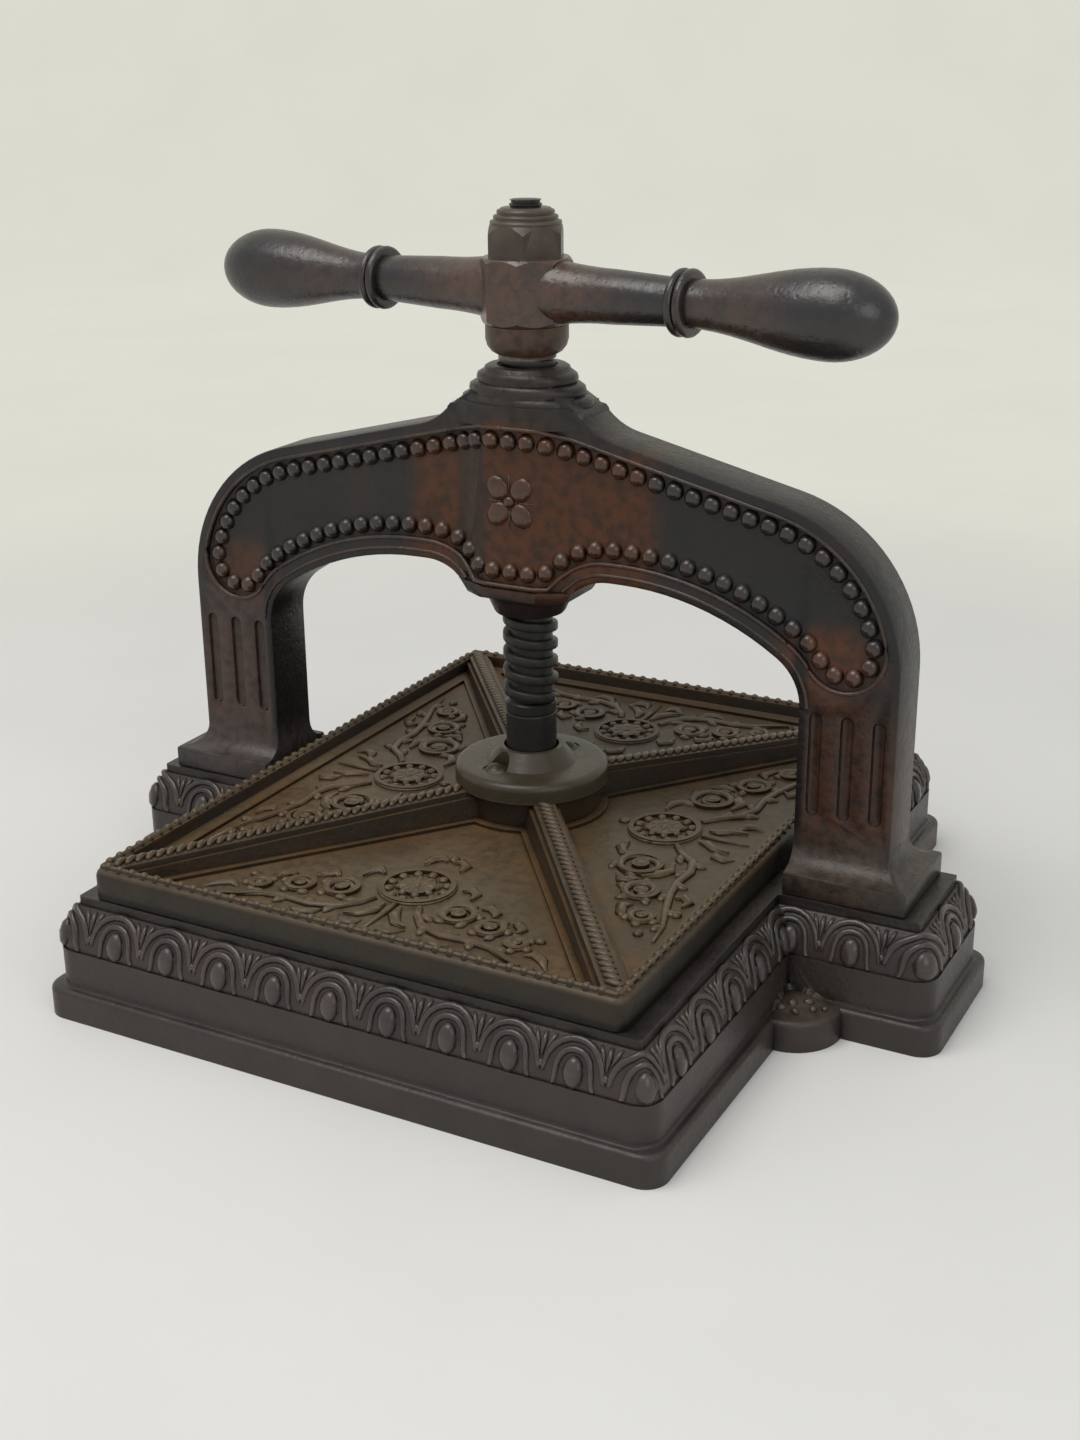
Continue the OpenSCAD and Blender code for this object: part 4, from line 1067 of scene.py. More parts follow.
@dataclass
class EggAndDart:
    """The carved band round the base."""

    material: Material
    grow: GrowKit
    pitch: float = 27.6
    half_w: float = 149.0
    half_d: float = 180.0
    ear_end: float = 212.5
    ear_half: float = 41.0
    first_side: float = 37.4
    first_ear: float = 143.5
    corner_r: float = 15.0
    foot_z: float = 32.0
    foot_in: float = 5.5
    ovolo_r: float = 26.57
    # Straight lengths left over on the front and on the side of a corner.
    block_spare: Flat = (9.8, 3.4)
    ear_spare: Flat = (12.7, 12.2)
    # Rough spots on a lobe: across, deep, half size and height.
    spots: tuple[tuple[float, ...], ...] = (
        (2.0, 6.0, 3.6, 3.3), (8.0, 2.5, 3.0, 3.0), (-1.0, 11.0, 2.6, 2.4), (11.5, 6.5, 2.2, 2.2),
        (5.0, 11.5, 2.4, 2.0), (15.5, 3.0, 1.8, 1.2))

    def build(self) -> None:
        """Carves the straight runs and the corners."""
        pieces = [self._row("egg", self._egg, 0.0), self._row("dart", self._dart, 0.5)]
        corners = [(sx, sy) for sx in SIDES for sy in SIDES]
        blocks = (((self.half_w, self.half_d), self.block_spare),
                  ((self.ear_end, self.ear_half), self.ear_spare))
        bends = Clay()
        for side in corners:
            for half, spare in blocks:
                bends.on = self._corner(half, side, spare)
                self._egg(bends)
        for side in corners:
            bends.on = self._lobe(side)
            for u, v, size, high in self.spots:
                bends.dome((u, v), (size, 0.75 * size), high, 40.0 * u)
        pieces.append(bends.mesh("egg_corners", self.material))
        place("egg_and_dart_band", joined("egg_and_dart_band", pieces, self.material), Body.FRAME)

    def _row(self, name: str, carve: Callable[[Clay], None], shift: float) -> Mesh:
        """Carves a unit and sets it at every place of the straight runs.

        Args:
            name: Name of the unit.
            carve: Carves one unit.
            shift: 0 for eggs, 0.5 for the darts between them.

        Returns:
            The row's mesh.
        """
        unit = Clay(self._straight)
        carve(unit)
        stamp = linked(f"{name}_stamp", unit.mesh(f"{name}_stamp", self.material))
        points = self._runs(shift)
        mesh = bpy.data.meshes.new(f"{name}_points")
        mesh.from_pydata([(x * MM, y * MM, 0.0) for x, y, _ in points], [], [])
        turns = mesh.attributes.new("turn", "FLOAT", "POINT")
        turns.data.foreach_set("value", [math.radians(t) for _, _, t in points])
        row = self.grow.grow(f"{name}_row", mesh, self.grow.units, {"Unit": stamp, "Material": self.material})
        bpy.data.objects.remove(stamp)
        return row

    def _runs(self, shift: float) -> list[Point]:
        """Lists the straight runs' places.

        Args:
            shift: 0 for eggs, 0.5 for the darts between them.

        Returns:
            Place across and deep, and turn in degrees.
        """
        points: list[Point] = []
        for x in ((k + shift) * self.pitch for k in range(-5 if shift else -4, 5)):
            points += [(x, -self.half_d, 0.0), (x, self.half_d, 180.0)]
        for sy in SIDES:
            for y in (sy * (self.first_side + self.pitch * (k + shift)) for k in range(5)):
                points += [(sx * self.half_w, y, sx * 90.0) for sx in (1.0, -1.0)]
            for x in (self.first_ear + self.pitch * (k + shift) for k in range(2)):
                points += [(sx * x, sy * self.ear_half, 90.0 + 90.0 * sy) for sx in (1.0, -1.0)]
        for y in (-shift * self.pitch, shift * self.pitch) if shift else (0.0,):
            points += [(sx * self.ear_end, y, sx * 90.0) for sx in (1.0, -1.0)]
        return points

    def _section(self, v: float, h: float) -> Flat:
        """Gives the inset and height of a point on the ovolo."""
        t = v / self.ovolo_r
        inset = self.foot_in + self.ovolo_r * (1.0 - math.cos(t)) - h * math.cos(t)
        return inset, self.foot_z + (self.ovolo_r + h) * math.sin(t)

    def _straight(self, u: float, v: float, h: float) -> Vector:
        """Lays relief on a straight run that looks to the front."""
        return Vector((u, *self._section(v, h)))

    @staticmethod
    def _lobe(side: Flat) -> Surface:
        """Gives the top of one corner lobe as a surface."""
        return lambda a, b, h: Vector((side[0] * (LOBE[0] + a), side[1] * (LOBE[1] + b), LOBE[2] + 0.4 + h))

    def _corner(self, half: Flat, side: Flat, spare: Flat) -> Surface:
        """Gives the surface round one corner.

        Args:
            half: Half the block's width and depth.
            side: Side across and deep.
            spare: Straight length left over on the front and on the side.

        Returns:
            A surface that bends one unit round the corner.
        """
        bend = (self.corner_r - self.foot_in) * math.pi / 4.0
        centre = (half[0] - self.corner_r, self.corner_r - half[1])

        def on(u: float, v: float, h: float) -> Vector:
            """Bends a place round the corner.

            Args:
                u: Place across the unit.
                v: Place up the band.
                h: Height of the relief.

            Returns:
                The place in the press's frame.
            """
            inset, z = self._section(v, h)
            w = u * (bend + spare[0 if u < 0 else 1]) / (0.5 * self.pitch)
            turn = -45.0 + 45.0 * max(-1.0, min(1.0, w / bend))
            x, y = polar(centre, max(0.6, self.corner_r - inset), turn)
            return Vector((side[0] * (x + min(0.0, w + bend)), -side[1] * (y + max(0.0, w - bend)), z))

        return on

    @staticmethod
    def _egg(clay: Clay) -> None:
        """Carves one egg in its two rims.

        Args:
            clay: Relief to add to.
        """
        outer = [(-12.9, 4.6), (-12.4, 8.0), (-11.3, 11.8), (-9.3, 15.2), (-6.4, 17.8), (-3.2, 19.2)]
        inner = [(-9.0, 0.8), (-8.0, 1.4), (-7.6, 4.6), (-7.3, 8.4), (-6.3, 11.8), (-4.4, 14.2), (-2.2, 15.2)]
        rims = ((outer, 19.6, (1.0, 1.7, 1.8, 1.7, 1.0), (0.8, 1.5, 1.6, 1.5, 0.8)),
                (inner, 15.5, (1.0, 1.6, 1.7, 1.6, 1.0), (0.9, 1.4, 1.6, 1.4, 0.9)))
        for rim, top, widths, heights in rims:
            clay.stroke(rim + [(0.0, top)] + sided(rim[::-1], -1.0), widths, heights)
        clay.dome((0.0, 6.6), (4.4, 6.8), 2.7, count=14)

    @staticmethod
    def _dart(clay: Clay) -> None:
        """Carves the leaf and bead between two eggs.

        Args:
            clay: Relief to add to.
        """
        clay.stroke([(0.0, 19.4), (0.0, 15.0), (0.0, 10.0)], [1.1, 1.4, 0.5], [1.2, 1.5, 0.8])
        for s in SIDES:
            clay.stroke(sided([(4.4, 19.6), (2.9, 16.4), (1.2, 12.0)], s), [0.7, 1.2, 0.4], [0.8, 1.3, 0.6])
        clay.dome((0.0, 7.4), (1.3, 1.6), 1.3, count=8)


@dataclass(frozen=True)
class Motif:
    """Relief of one panel: rosette, stems, scrolls and leaves, as across and outward from the rosette."""

    room: float
    stem: tuple[Flat, ...]
    scrolls: tuple[tuple[float, float, float, float, float], ...]
    leaves: tuple[tuple[Flat, ...], ...]
    buds: tuple[Flat, ...]
    spine: tuple[Flat, ...]
    tip: Flat
    wreath: float = 16.0

    def carve(self, clay: Clay) -> None:
        """Carves the motif.

        Args:
            clay: Relief to add to, on the panel's floor.
        """
        self._rosette(clay)
        for s in SIDES:
            clay.stroke(sided(self.stem, s), [1.8, 2.6, 2.4, 2.1, 0.9], [1.9, 2.7, 2.5, 2.3, 1.3])
            for u, v, radius, start, hand in self.scrolls:
                self._scroll(clay, (s * u, v), radius, start if s > 0 else 180.0 - start, s * hand)
                for turn in (start + hand * (60.0 + 68.0 * k) for k in range(4)):
                    root = polar((u, v), 0.85 * radius, turn)
                    self._leaflet(clay, s, root, math.radians(turn) + 0.9 * hand, 0.75 * radius)
            for k, (one, two) in enumerate(zip(self.stem[1:], self.stem[2:])):
                way = math.atan2(two[1] - one[1], two[0] - one[0])
                self._leaflet(clay, s, one, way + (0.6 if k % 2 else -0.9), 8.5 - 0.4 * k)
            for leaf in self.leaves:
                clay.stroke(sided(leaf, s), [0.8, 3.2, 2.8, 0.6], [0.9, 2.6, 2.3, 0.6])
            for bud in sided(self.buds, s):
                clay.dome(bud, (2.6, 2.3), 2.5)
        clay.stroke(self.spine, [1.6, 1.4, 2.6, 0.6], [2.0, 2.2, 2.4, 1.0])
        clay.dome(self.tip, (2.4, 3.0), 2.5)

    def _leaflet(self, clay: Clay, side: float, root: Flat, turn: float, reach: float) -> None:
        """Curls a small leaf away from a stem or scroll, unless it would leave the panel.

        Args:
            clay: Relief to add to.
            side: -1 or 1, the half of the panel.
            root: Where it starts.
            turn: Direction in which it starts, in radians.
            reach: Its length.
        """
        path = [root]
        for k in range(3):
            (u, v), way = path[-1], turn + 0.3 * k
            path.append((u + reach / 3.0 * math.cos(way), v + reach / 3.0 * math.sin(way)))
        if path[-1][1] < self.room:
            clay.stroke(sided(path, side), [1.0, 2.4, 2.5, 1.1], [1.0, 2.1, 2.2, 1.0])

    def _rosette(self, clay: Clay) -> None:
        """Carves the rosette in its wreath.

        Args:
            clay: Relief to add to.
        """
        middle = (0.0, 0.0)
        clay.stroke(arc(middle, self.wreath, 0.0, 360.0, 40), [1.5], [1.7])
        for count, first, part, half, height in ((12, 0.0, 0.8, (2.6, 2.3), 2.3),
                                                 (8, 0.5, 0.38, (4.4, 2.4), 2.9)):
            for turn in (360.0 * (k + first) / count for k in range(count)):
                clay.dome(polar(middle, part * self.wreath, turn), half, height, turn, 8)
        clay.dome(middle, (2.4, 2.4), 3.3)

    @staticmethod
    def _scroll(clay: Clay, centre: Flat, radius: float, start: float, hand: float) -> None:
        """Winds one scroll round to its eye.

        Args:
            clay: Relief to add to.
            centre: The eye.
            radius: Outer radius.
            start: Angle where it starts, in degrees.
            hand: 1 to wind left, -1 to wind right.
        """
        steps, turns = 26, 1.3
        path = []
        for part in (k / steps for k in range(steps + 1)):
            r = (radius - 1.2) * (1.0 - 0.08 * part - 0.55 * max(0.0, (part - 0.62) / 0.38))
            path.append(polar(centre, r, start + hand * 360.0 * turns * part))
        clay.stroke(path, [1.2, 2.2, 2.2, 1.8, 1.4], [1.6, 2.6, 2.7, 2.5, 2.2])
        clay.dome(centre, (0.3 * radius + 0.7, 0.3 * radius + 0.7), 2.9)


FRONT_MOTIF = Motif(
    45.5,
    ((11.0, 16.5), (14.0, 23.0), (20.6, 30.5), (32.0, 34.5), (44.0, 33.5), (56.0, 35.0), (66.0, 40.5),
     (73.0, 43.5)),
    ((29.0, 15.0, 8.2, 200.0, 1.0), (47.0, 20.0, 7.0, 210.0, 1.0), (63.0, 27.0, 5.4, 160.0, -1.0)),
    (((19.5, -5.0), (23.0, -8.0), (26.5, -5.0), (27.0, 1.0)),
     ((35.5, 6.5), (38.5, 3.5), (43.0, 7.0), (44.0, 11.0)),
     ((53.5, 12.5), (56.0, 11.5), (59.5, 15.0), (59.0, 19.5)),
     ((9.0, -21.0), (8.5, -27.0), (4.5, -30.5), (1.5, -27.5)),
     ((4.0, 20.0), (5.0, 27.0), (9.5, 33.0), (15.0, 35.0)),
     ((16.0, 36.5), (11.0, 41.0), (6.5, 40.5), (5.0, 36.5)),
     ((25.0, 35.5), (28.0, 40.0), (34.0, 41.8), (39.0, 39.5)),
     ((70.0, 34.0), (74.0, 31.5), (79.0, 34.5), (84.0, 41.0))),
    ((77.5, 43.4), (70.5, 20.5)), ((0.0, 17.5), (0.0, 27.0), (0.0, 43.0)), (0.0, -31.5))
SIDE_MOTIF = Motif(
    42.5,
    ((14.5, 12.5), (22.5, 19.0), (28.0, 26.5), (38.0, 29.5), (50.0, 28.5), (62.0, 30.5), (76.0, 35.0),
     (90.0, 40.0), (104.0, 42.0)),
    ((40.0, 6.5, 10.5, 150.0, 1.0), (64.0, 18.0, 8.4, 110.0, -1.0), (86.0, 28.5, 6.0, 150.0, 1.0)),
    (((33.0, 19.5), (41.0, 21.0), (47.0, 17.5), (51.0, 12.0)),
     ((52.5, 1.0), (57.0, 5.0), (56.0, 9.5), (54.0, 12.0)),
     ((20.0, -8.5), (27.0, -9.0), (32.0, -5.5), (32.0, 0.0)),
     ((6.5, 19.5), (6.5, 24.0), (10.5, 29.0), (11.5, 36.5)),
     ((12.5, 30.5), (18.0, 33.0), (20.0, 37.5), (17.0, 41.5)),
     ((64.0, 34.0), (61.0, 37.0), (65.5, 41.0), (71.0, 40.0)),
     ((76.0, 20.0), (80.0, 16.5), (86.0, 19.0), (90.0, 22.5))),
    ((78.0, 41.0), (100.0, 33.5)), ((0.0, 18.5), (0.0, 28.0), (0.0, 41.5)), (0.0, -20.5))


@dataclass
class PlatenOrnament:
    """Pearls, ropes, rosettes and scrolls on the platen."""

    material: Material
    grow: GrowKit
    half_w: float = 127.5
    half_d: float = 165.5
    top_z: float = 68.8
    floor_z: float = 61.0
    pearl_in: float = 3.6
    pearl_corner: float = 5.5
    pearl: Point = (2.1, 2.1, 2.1)
    pearl_pitch: float = 6.6
    strand: Point = (4.3, 1.9, 1.7)
    strand_pitch: float = 4.4
    strand_slant: float = 48.0
    lift: float = 0.3
    front_rosette: float = 104.0
    side_rosette: float = 69.0
    rope_span: Flat = (38.0, 196.0)
    rib_tip: Flat = (121.5, 159.5)
    rib_high: Flat = (75.3, 69.3)
    rib_span: Flat = (32.1, 200.5)
    worn_down: float = 0.8

    def build(self) -> None:
        """Makes all the platen's ornament."""
        r = self.pearl_corner
        x, y = self.half_w - self.pearl_in - r, self.half_d - self.pearl_in - r
        ring: list[Point] = []
        for centre, start in (((x, y), 0.0), ((-x, y), 90.0), ((-x, -y), 180.0), ((x, -y), 270.0)):
            ring += [(u, v, self.top_z + self.lift) for u, v in arc(centre, r, start, start + 90.0, 6)]
        pearls = self.grow.grow("pearls", line_mesh("pearl_line", [ring], True), self.grow.beads, {
            "Size": Vector(self.pearl) * MM, "Pitch": self.pearl_pitch * MM, "Outward": (0.0, 0.0, 1.0),
            "Material": self.material})
        ropes = self.grow.grow("ropes", line_mesh("rope_line", self._ribs()), self.grow.strands, {
            "Size": Vector(self.strand) * MM, "Pitch": self.strand_pitch * MM,
            "Slant": math.radians(self.strand_slant), "Material": self.material})
        clay = Clay()
        for turn in (0.0, 180.0):
            for motif, way, rosette in ((FRONT_MOTIF, turn, self.front_rosette),
                                        (SIDE_MOTIF, turn - 90.0, self.side_rosette)):
                clay.on = self._panel(way, rosette)
                motif.carve(clay)
        scrolls = clay.mesh("platen_scrolls", self.material)
        for name, mesh in (("platen_pearls", pearls), ("platen_ropes", ropes), ("platen_scrolls", scrolls)):
            place(name, mesh, Body.PLATEN)

    def _ribs(self) -> list[list[Point]]:
        """Gives the lines of the four ribs' crests.

        Returns:
            Two points for each rib.
        """
        reach = math.hypot(*self.rib_tip)
        ends = []
        for r in self.rope_span:
            part = (r - self.rib_span[0]) / (self.rib_span[1] - self.rib_span[0])
            high = self.rib_high[0] + part * (self.rib_high[1] - self.rib_high[0]) + self.lift
            ends.append((self.rib_tip[0] / reach * r, self.rib_tip[1] / reach * r, high))
        return [[(sx * x, sy * y, z) for x, y, z in ends] for sx, sy in ((1, 1), (-1, 1), (-1, -1), (1, -1))]

    def _panel(self, turn: float, rosette: float) -> Surface:
        """Gives a panel's floor, from its rosette outward.

        Args:
            turn: Turn of the panel about the screw, in degrees.
            rosette: Distance of the rosette from the screw.

        Returns:
            A surface across, outward and up from the panel's floor.
        """
        cos, sin = (round(c) for c in polar((0.0, 0.0), 1.0, turn))
        return lambda u, v, h: Vector((u * cos - (v + rosette) * sin, u * sin + (v + rosette) * cos,
                                       self.floor_z + self.worn_down * h))


@dataclass
class ScrewSpindle:
    """The square-threaded screw with its collar, shank and stud."""

    material: Material
    nut_material: Material
    grow: GrowKit
    root_r: float = 10.3
    crest_r: float = 12.7
    pitch: float = 8.5
    thread_z: Flat = (114.3, 276.0)
    thread_end: float = 2.2
    neck_r: float = 11.75
    shank_w: float = 18.0
    shank_z: Flat = (286.0, 316.0)
    shank_turn: float = -6.0
    stud_z: Flat = (315.0, 338.6)
    stud_r: float = 8.5
    crown_z: float = 328.4

    def build(self) -> None:
        """Turns the core, winds the thread and joins them, then sets the rings on the nut."""
        (low, high), neck, root, crest = self.thread_z, self.neck_r, self.root_r, self.crest_r
        core = [(0.0, 65.3), (16.9, 65.3), (16.9, 75.2), (neck, 75.2), (neck, 107.7), (neck, 108.0),
                (11.5, 108.3), (11.5, 108.9), (neck, 109.2), (neck, 109.5), (neck, low - 0.9),
                (root, low + 0.6), (root, 272.0), (crest, 272.4), (crest, 274.0), (13.3, 274.0),
                (15.6, 275.3), (17.4, 277.6), (18.2, 280.5), (18.2, 286.6), (17.8, 287.0), (0.0, 287.0)]
        foot, top = self.stud_z
        stud = [(0.0, foot), (self.stud_r, foot)]
        radius, z = self.stud_r, foot + 13.0
        while z < top - 1.6:
            stud += [(radius, z), (radius - 0.9, z + 0.5), (radius - 0.9, z + 1.3), (radius - 0.35, z + 1.8)]
            radius, z = radius - 0.35, z + 2.2
        stud += [(radius - 0.5, top - 0.7), (radius - 1.3, top), (0.0, top)]
        depth = crest - root + 0.8
        length = high - low - 2.0 * self.thread_end
        seed = line_mesh("thread_seed", [[(0.0, 0.0, 0.0), (0.0, 0.0, 1.0)]])
        thread = self.grow.grow("thread", seed, self.grow.thread, {
            "Foot": (0.0, 0.0, (low + self.thread_end) * MM), "Length": length * MM,
            "Turns": length / self.pitch, "Radius": (crest - 0.5 * depth) * MM, "Depth": depth * MM,
            "Width": 0.54 * self.pitch * MM, "Round": 1.0 * MM, "Material": self.material})
        meshes = [thread, self._lathe("screw_core", core), self._lathe("screw_stud", stud), self._shank()]
        mesh = joined("screw_spindle", meshes, self.material)
        mesh.set_sharp_from_angle(angle=math.radians(42))
        place("screw_spindle", mesh, Body.SCREW, ["screw"])
        crown = [(0.0, self.crown_z)]
        for r, z in ((15.1 - 1.5 * k, self.crown_z + 2.2 * k) for k in range(3)):
            crown += [(r, z), (r + 0.4, z + 0.6), (r + 0.2, z + 1.5), (r - 1.0, z + 2.0)]
        crown += [(10.6, self.crown_z + 6.9), (0.0, self.crown_z + 6.9)]
        rings = joined("nut_rings", [self._lathe("nut_rings", crown)], self.nut_material)
        place("nut_rings", rings, Body.SCREW)

    def _lathe(self, name: str, profile: Sequence[Flat], count: int = 64) -> Mesh:
        """Turns a profile about the screw's axis.

        Args:
            name: Name of the mesh.
            profile: Radius and height, from the foot up, both ends on the axis.
            count: Points round the axis.

        Returns:
            The closed mesh.
        """
        rings: list[range] = []
        places: list[Vector] = []
        for r, z in profile:
            first = len(places)
            turns = [360.0 * k / count for k in range(count if r else 1)]
            places += [Vector((*polar((0.0, 0.0), r, t), z)) * MM for t in turns]
            rings.append(range(first, len(places)))
        faces = [face for one, two in zip(rings, rings[1:]) for face in bridged(one, two)]
        return face_mesh(name, places, faces, self.material)

    def _shank(self) -> Mesh:
        """Makes the square shank inside the handle's hub.

        Returns:
            The mesh.
        """
        foot, top = self.shank_z
        size = Matrix.Diagonal((self.shank_w * MM, self.shank_w * MM, (top - foot) * MM, 1.0))
        turn = Matrix.Rotation(math.radians(self.shank_turn), 4, "Z")
        work = bmesh.new()
        bmesh.ops.create_cube(work, size=1.0,
                              matrix=Matrix.Translation((0.0, 0.0, 0.5 * (foot + top) * MM)) @ turn @ size)
        mesh = bpy.data.meshes.new("screw_shank")
        work.to_mesh(mesh)
        work.free()
        mesh.materials.append(self.material)
        return mesh


@dataclass
class Studio:
    """Camera, light, floor and backdrop."""

    right: Point = (0.8827015321638789, 0.46984954078877417, -0.008911460941887772)
    down: Point = (0.15897012345468742, -0.31639338664422617, -0.9352131974777722)
    ahead: Point = (-0.4422290186818841, 0.8240974662674163, -0.3539729666616965)
    eye: Point = (0.389501591, -0.717362340, 0.411989386)
    lens: float = 46.678
    paper: Point = (226, 225, 221)
    wall: Point = (219, 218, 207)
    wall_at: float = 2.2
    sweep_r: float = 0.6
    near: Flat = (0.4, 0.95)
    air: Point = (0.97, 0.98, 1.0)
    air_strength: float = 0.62

    def build(self) -> None:
        """Sets up everything round the press."""
        self._camera()
        self._paper()
        self._light("key_light", (-0.3, -0.55, 1.6), 12.5, (1.0, 0.985, 0.955))
        self._light("fill_light", (1.3, -0.9, 1.0), 4.0, (0.95, 0.98, 1.0))
        world = bpy.data.worlds.new("studio_air")
        bpy.context.scene.world = world
        world.use_nodes = True
        air = world.node_tree.nodes["Background"]
        air.inputs["Color"].default_value = (*self.air, 1.0)
        air.inputs["Strength"].default_value = self.air_strength
        bpy.context.scene.view_settings.view_transform = "Standard"

    def _camera(self) -> None:
        """Sets the solved camera."""
        data = bpy.data.cameras.new("camera")
        data.lens, data.sensor_width = self.lens, 36.0
        camera = linked("camera", data)
        axes = (Vector(self.right), -Vector(self.down), -Vector(self.ahead), Vector(self.eye))
        camera.matrix_world = Matrix([[a[k] for a in axes] for k in range(3)] + [[0.0, 0.0, 0.0, 1.0]])
        bpy.context.scene.camera = camera

    @staticmethod
    def _light(name: str, at: Point, power: float, colour: Point) -> None:
        """Adds a soft light, 1 m wide, that looks at the press.

        Args:
            name: Name of the light.
            at: Its place in metres.
            power: Its power in watts.
            colour: Its tint.
        """
        data = bpy.data.lights.new(name, "AREA")
        data.energy, data.size, data.color = power, 1.0, colour
        lamp = linked(name, data)
        lamp.location = at
        lamp.rotation_euler = (Vector((0.0, 0.0, 0.15)) - Vector(at)).to_track_quat("-Z", "Y").to_euler()

    def _paper(self) -> None:
        """Makes the pale paper that runs from the floor up the wall."""
        away = Vector((self.ahead[0], self.ahead[1], 0.0)).normalized()
        across = Vector((away.y, -away.x, 0.0))
        profile = [(-4.0, 0.0), (self.wall_at, 0.0)]
        profile += [polar((self.wall_at, self.sweep_r), self.sweep_r, 6.0 * k - 90.0) for k in range(1, 16)]
        profile += [(self.wall_at + self.sweep_r, 4.5)]
        places = [away * d + across * w + Vector((0.0, 0.0, z)) for d, z in profile for w in (-5.0, 5.0)]
        faces = [(2 * k, 2 * k + 1, 2 * k + 3, 2 * k + 2) for k in range(len(profile) - 1)]
        linked("paper", face_mesh("paper", places, faces, self._paper_material()))

    def _paper_material(self) -> Material:
        """Makes the paper's material, which shows its far part as written.

        Returns:
            The material.
        """
        material = bpy.data.materials.new("pale_paper")
        material.use_nodes = True
        wiring = Wiring(material.node_tree)
        takes = material.node_tree.nodes["Principled BSDF"].inputs
        at = wiring.add("ShaderNodeTexCoord").outputs["Object"]
        cloud = wiring.times(wiring.step(wiring.noise(at, 5.0, 6.0, 0.6), 0.35, 0.7), 0.08)
        far = wiring.step(wiring.length(at), *self.near)
        rays = wiring.add("ShaderNodeLightPath").outputs
        seen = wiring.math("MAXIMUM", rays["Is Glossy Ray"], rays["Is Transmission Ray"])
        shown = wiring.times(far, wiring.math("MAXIMUM", rays["Is Camera Ray"], seen))
        black, grey = (0.0, 0.0, 0.0, 1.0), (0.5, 0.49, 0.46, 1.0)
        near_paper, far_paper = (wiring.blend(cloud, linear(c), grey) for c in (self.paper, self.wall))
        wiring.feed(takes["Base Color"], wiring.blend(shown, near_paper, black))
        wiring.feed(takes["Emission Color"], wiring.blend(shown, black, far_paper))
        for label, value in (("Emission Strength", 1.0), ("Roughness", 0.8), ("Specular IOR Level", 0.2)):
            takes[label].default_value = value
        return material


BASE_IRON = IronFinish(
    "base_iron", (48, 42, 40), (56, 47, 43), (84, 71, 61), (72, 50, 40), (10, 8, 8), 0.4, 0.25,
    grime_and_shade_gain=2.3, crest_gain=0.35, specular=0.42, coat=0.3,
    patches=(
        # Painted shadow under the platen: a thin dark layer along the top of the bed.
        Patch((0.0, 0.0, 54.8), (900.0, 900.0, 2.6), (30, 26, 24), 0.5, 0.6, 0.7),
        *(Patch((s * 151.0, -44.0, 16.0), (20.0, 20.0, 5.0), (74, 63, 52), 0.5, 1.0, 0.7) for s in SIDES),
    ))
ARCH_IRON = IronFinish(
    "arch_iron", (26, 25, 26), (34, 29, 27), (76, 61, 52), (62, 38, 28), (8, 7, 7), 0.38, 0.16,
    grime_and_shade_gain=1.8, crest_gain=0.3, specular=0.4, coat=0.42,
    patches=(
        Patch((7.0, 0.0, 215.0), (60.0, 900.0, 900.0), (76, 38, 6), 0.12, 0.3, 0.9),
        Patch((-21.0, -20.0, 210.0), (9.0, 40.0, 90.0), (34, 27, 24), 0.35, 0.3, 0.7),
        # Painted shade under the boss: its lower end is darkened.
        Patch((0.0, 0.0, 157.0), (70.0, 60.0, 13.0), (30, 27, 27), 0.3, 0.4, 0.9),
        Patch((0.0, 0.0, 263.0), (60.0, 60.0, 17.0), (42, 36, 34), 0.25, 0.3, 0.9),
        *(Patch((s * 46.0, 0.0, 250.0), (30.0, 60.0, 15.0), (36, 32, 32), 0.25, 0.3, 0.9) for s in SIDES),
        Patch((148.0, 0.0, 158.0), (22.0, 60.0, 16.0), (88, 46, 20), 0.4, 0.8, 0.75),
        Patch((-150.0, 0.0, 158.0), (20.0, 60.0, 16.0), (80, 46, 24), 0.4, 0.8, 0.65),
        Patch((158.0, 0.0, 100.0), (30.0, 60.0, 48.0), (70, 43, 28), 0.4, 0.8, 0.75),
        Patch((-158.0, 0.0, 100.0), (30.0, 60.0, 48.0), (78, 57, 49), 0.4, 0.8, 0.75),
        # Painted shade on the inner faces of the legs, the side turned from the light.
        *(Patch((s * 135.8, 0.0, 118.0), (4.0, 60.0, 70.0), (12, 12, 13), 0.4, 0.2, 0.95) for s in SIDES),
        Patch((160.0, 0.0, 68.0), (44.0, 60.0, 12.0), (66, 57, 49), 0.5, 0.8, 0.7),
        Patch((-160.0, 0.0, 68.0), (44.0, 60.0, 12.0), (68, 60, 57), 0.5, 0.8, 0.6),
    ))
PLATEN_IRON = IronFinish(
    "platen_iron", (81, 66, 46), (60, 50, 38), (112, 90, 62), (92, 62, 34), (22, 17, 11), 0.46, 0.3,
    # The platen's steep faces (border walls, rib flanks and hub side) get painted shade.
    grime_and_shade_gain=1.8, crest_gain=0.32, coat=0.08, dust=0.05, painted_side_shade=0.74, stain=(128, 90, 44),
    stain_gain=2.6,
    patches=(
        Patch((0.0, 110.0, 62.0), (95.0, 46.0, 9.0), (50, 45, 37), 0.5, 0.8, 0.7),
        Patch((85.0, 10.0, 62.0), (46.0, 110.0, 9.0), (76, 66, 46), 0.6, 0.7, 0.5),
        Patch((-104.0, -30.0, 62.0), (24.0, 110.0, 9.0), (108, 86, 58), 0.5, 0.9, 0.45),
        Patch((14.0, -62.0, 61.5), (44.0, 24.0, 9.0), (106, 84, 56), 0.5, 0.9, 0.4),
        Patch((-20.0, -122.0, 61.5), (80.0, 34.0, 6.0), (112, 97, 74), 0.6, 1.1, 0.45),
        Patch((96.0, -138.0, 62.0), (22.0, 20.0, 8.0), (110, 86, 56), 0.5, 0.9, 0.5),
        # Painted shadow along the platen's bottom edge, where it sits on the bed.
        Patch((0.0, 0.0, 54.6), (900.0, 900.0, 3.4), (10, 9, 8), 0.4, 0.3, 0.95),
    ))
